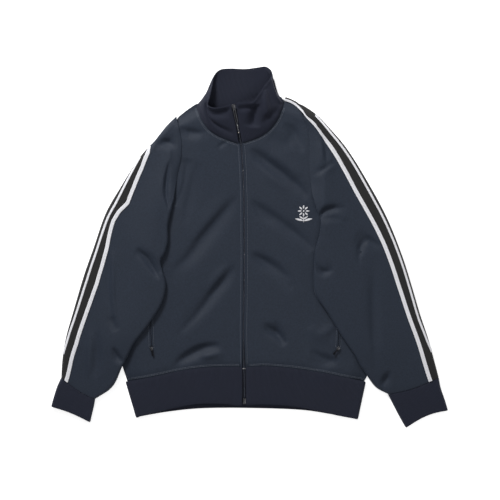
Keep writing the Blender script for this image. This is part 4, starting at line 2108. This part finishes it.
def amount(name, description, default, **limits):
    return bpy.props.FloatProperty(name=name, description=description, default=default, min=0.0, **limits)


def tone(name, description, default):
    return bpy.props.FloatVectorProperty(
        name=name, description=description, default=default, subtype="COLOR", size=3, min=0.0, max=1.0
    )


class JacketSizes(bpy.types.PropertyGroup):
    """Thicknesses and pitches of the cloth and trims."""

    cloth_thickness: size_value("Cloth thickness", "Thickness of the jersey", 0.0012, min=0.0005, max=0.003)
    rib_thickness: size_value("Rib thickness", "Thickness of the doubled rib", 0.0024, min=0.001, max=0.005)
    rib_pitch: size_value("Rib pitch", "Distance from one rib to the next", 0.0026, min=0.001, max=0.01)
    stitch_length: size_value("Stitch length", "Distance from one stitch to the next", 0.0032, min=0.001)
    thread_width: size_value("Thread width", "Thickness of the sewing thread", 0.0010, min=0.0002)
    tooth_pitch: size_value("Tooth pitch", "Distance between teeth on one side of the zip", 0.0026, min=0.001)
    crease_depth: amount("Crease depth", "How deep the worn creases are laid", 2.2, max=4.0)


class JacketColours(bpy.types.PropertyGroup):
    """Colours of the cloth, trims and metal."""

    navy: tone("Navy", "Colour of the jersey", NAVY)
    rib: tone("Rib", "Colour of the collar, cuffs and hem band", NAVY_RIB)
    tape: tone("Tape", "Colour of the sleeve tapes", BLACK)
    braid: tone("Braid", "Colour of the white braids and embroidery", WHITE)
    thread: tone("Thread", "Colour of the topstitching", (0.085, 0.10, 0.13))
    metal: tone("Metal", "Colour of the sliders and pull tabs", STEEL)
    teeth: tone("Teeth", "Colour of the zip teeth", (0.055, 0.061, 0.080))


class JacketStage(bpy.types.PropertyGroup):
    """The studio: camera and lights."""

    camera_height: size_value("Camera height", "Distance of the camera above the jacket", 3.2, min=1.0)
    view_width: size_value("View width", "Width of floor that the picture shows", 1.0715, min=0.5)
    key: amount("Key light", "Power of the key light", 95.0)
    fill: amount("Fill light", "Power of the fill light", 14.0)
    sky: amount("Sky", "Strength of the even light", 0.32)


SLEEVE_SHEETS = {}


def sheets_of(name):
    """Points and directions of a sleeve, worked out once."""
    if name not in SLEEVE_SHEETS:
        given = {
            "left": (SLEEVE_LEFT, ARMHOLE_LEFT, FRONT_LEFT),
            "right": (SLEEVE_RIGHT, ARMHOLE_RIGHT, FRONT_RIGHT),
        }
        SLEEVE_SHEETS[name] = sleeve_sheet(*given[name])
    return SLEEVE_SHEETS[name]


class JACKET_OT_back(bpy.types.Operator):
    """Lays out the back panel"""

    bl_idname = "jacket.back"
    bl_label = "Back panel"

    def execute(self, context):
        make_back()
        return {"FINISHED"}


class JACKET_OT_fronts(bpy.types.Operator):
    """Lays out both front panels"""

    bl_idname = "jacket.fronts"
    bl_label = "Front panels"

    def execute(self, context):
        make_front("left", FRONT_LEFT, 1)
        make_front("right", FRONT_RIGHT, -1)
        return {"FINISHED"}


class JACKET_OT_sleeves(bpy.types.Operator):
    """Lays out both set-in sleeves"""

    bl_idname = "jacket.sleeves"
    bl_label = "Sleeves"

    def execute(self, context):
        for name, reaches in (("left", TAPE_LEFT), ("right", TAPE_RIGHT)):
            make_sleeve(name, *sheets_of(name), reaches)
        return {"FINISHED"}


class JACKET_OT_ribs(bpy.types.Operator):
    """Makes the ribbed collar, hem band and cuffs"""

    bl_idname = "jacket.ribs"
    bl_label = "Ribbed collar, hem and cuffs"

    def execute(self, context):
        make_collar()
        make_band()
        make_cuff("left", CUFF_LEFT)
        make_cuff("right", CUFF_RIGHT)
        return {"FINISHED"}


class JACKET_OT_stripes(bpy.types.Operator):
    """Sews the striped tapes and their braids down the sleeves"""

    bl_idname = "jacket.stripes"
    bl_label = "Striped tapes"

    def execute(self, context):
        make_stripes(1, "left", *sheets_of("left"))
        make_stripes(-1, "right", *sheets_of("right"))
        return {"FINISHED"}


class JACKET_OT_zip(bpy.types.Operator):
    """Makes the front zip: tapes, teeth, slider, pull tab and box"""

    bl_idname = "jacket.zip"
    bl_label = "Front zip"

    def execute(self, context):
        make_zip_tape("left", 1)
        make_zip_tape("right", -1)
        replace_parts(make_zip_teeth(), "zip_chain")
        place = main_slider_place()
        make_slider("zip_slide", MAIN_SLIDER, place, "zip_slider")
        make_tab("zip_tab", MAIN_PULL, place, "zip_pull")
        make_tab_panel("zip_tab_panel", MAIN_PULL, place, "zip_pull")
        make_zip_box()
        return {"FINISHED"}


class JACKET_OT_pockets(bpy.types.Operator):
    """Makes both zipped pocket slits"""

    bl_idname = "jacket.pockets"
    bl_label = "Pockets"

    def execute(self, context):
        make_pocket("left", POCKET_LEFT)
        make_pocket("right", POCKET_RIGHT)
        return {"FINISHED"}


class JACKET_OT_sewing(bpy.types.Operator):
    """Sews the topstitching at the neck, hem, zip and pockets"""

    bl_idname = "jacket.sewing"
    bl_label = "Topstitching"

    def execute(self, context):
        sew("stitches_neck", neck_paths())
        sew("stitches_hem", hem_paths())
        sew("stitches_zip", zip_paths())
        sew("stitches_pockets", pocket_paths())
        return {"FINISHED"}


class JACKET_OT_sprig(bpy.types.Operator):
    """Embroiders the small sprig on the chest"""

    bl_idname = "jacket.sprig"
    bl_label = "Chest embroidery"

    def execute(self, context):
        make_sprig()
        return {"FINISHED"}


class JACKET_OT_stage(bpy.types.Operator):
    """Sets the floor, lights and camera"""

    bl_idname = "jacket.stage"
    bl_label = "Stage"

    def execute(self, context):
        make_stage()
        return {"FINISHED"}


OPERATORS = (
    JACKET_OT_back, JACKET_OT_fronts, JACKET_OT_sleeves, JACKET_OT_ribs, JACKET_OT_stripes, JACKET_OT_zip,
    JACKET_OT_pockets, JACKET_OT_sewing, JACKET_OT_sprig, JACKET_OT_stage,
)


class JACKET_PT_sidebar(bpy.types.Panel):
    """Sizes, colours and pieces of the jacket"""

    bl_idname = "JACKET_PT_sidebar"
    bl_label = "Track jacket"
    bl_space_type = "VIEW_3D"
    bl_region_type = "UI"
    bl_category = "Jacket"

    def draw(self, context):
        scene = context.scene
        for group in (scene.jacket_sizes, scene.jacket_colours, scene.jacket_stage):
            box = self.layout.box()
            for name in group.__annotations__:
                box.prop(group, name)
        for operator in OPERATORS:
            self.layout.operator(operator.bl_idname)


GROUPS = (("jacket_sizes", JacketSizes), ("jacket_colours", JacketColours), ("jacket_stage", JacketStage))


def register():
    for name, group in GROUPS:
        bpy.utils.register_class(group)
        setattr(bpy.types.Scene, name, bpy.props.PointerProperty(type=group))
    for made in (*OPERATORS, JACKET_PT_sidebar):
        bpy.utils.register_class(made)


def unregister():
    for made in (JACKET_PT_sidebar, *reversed(OPERATORS)):
        bpy.utils.unregister_class(made)
    for name, group in reversed(GROUPS):
        delattr(bpy.types.Scene, name)
        bpy.utils.unregister_class(group)


def main():
    register()
    for operator in OPERATORS:
        group, name = operator.bl_idname.split(".")
        getattr(getattr(bpy.ops, group), name)()


if __name__ == "__main__":
    main()
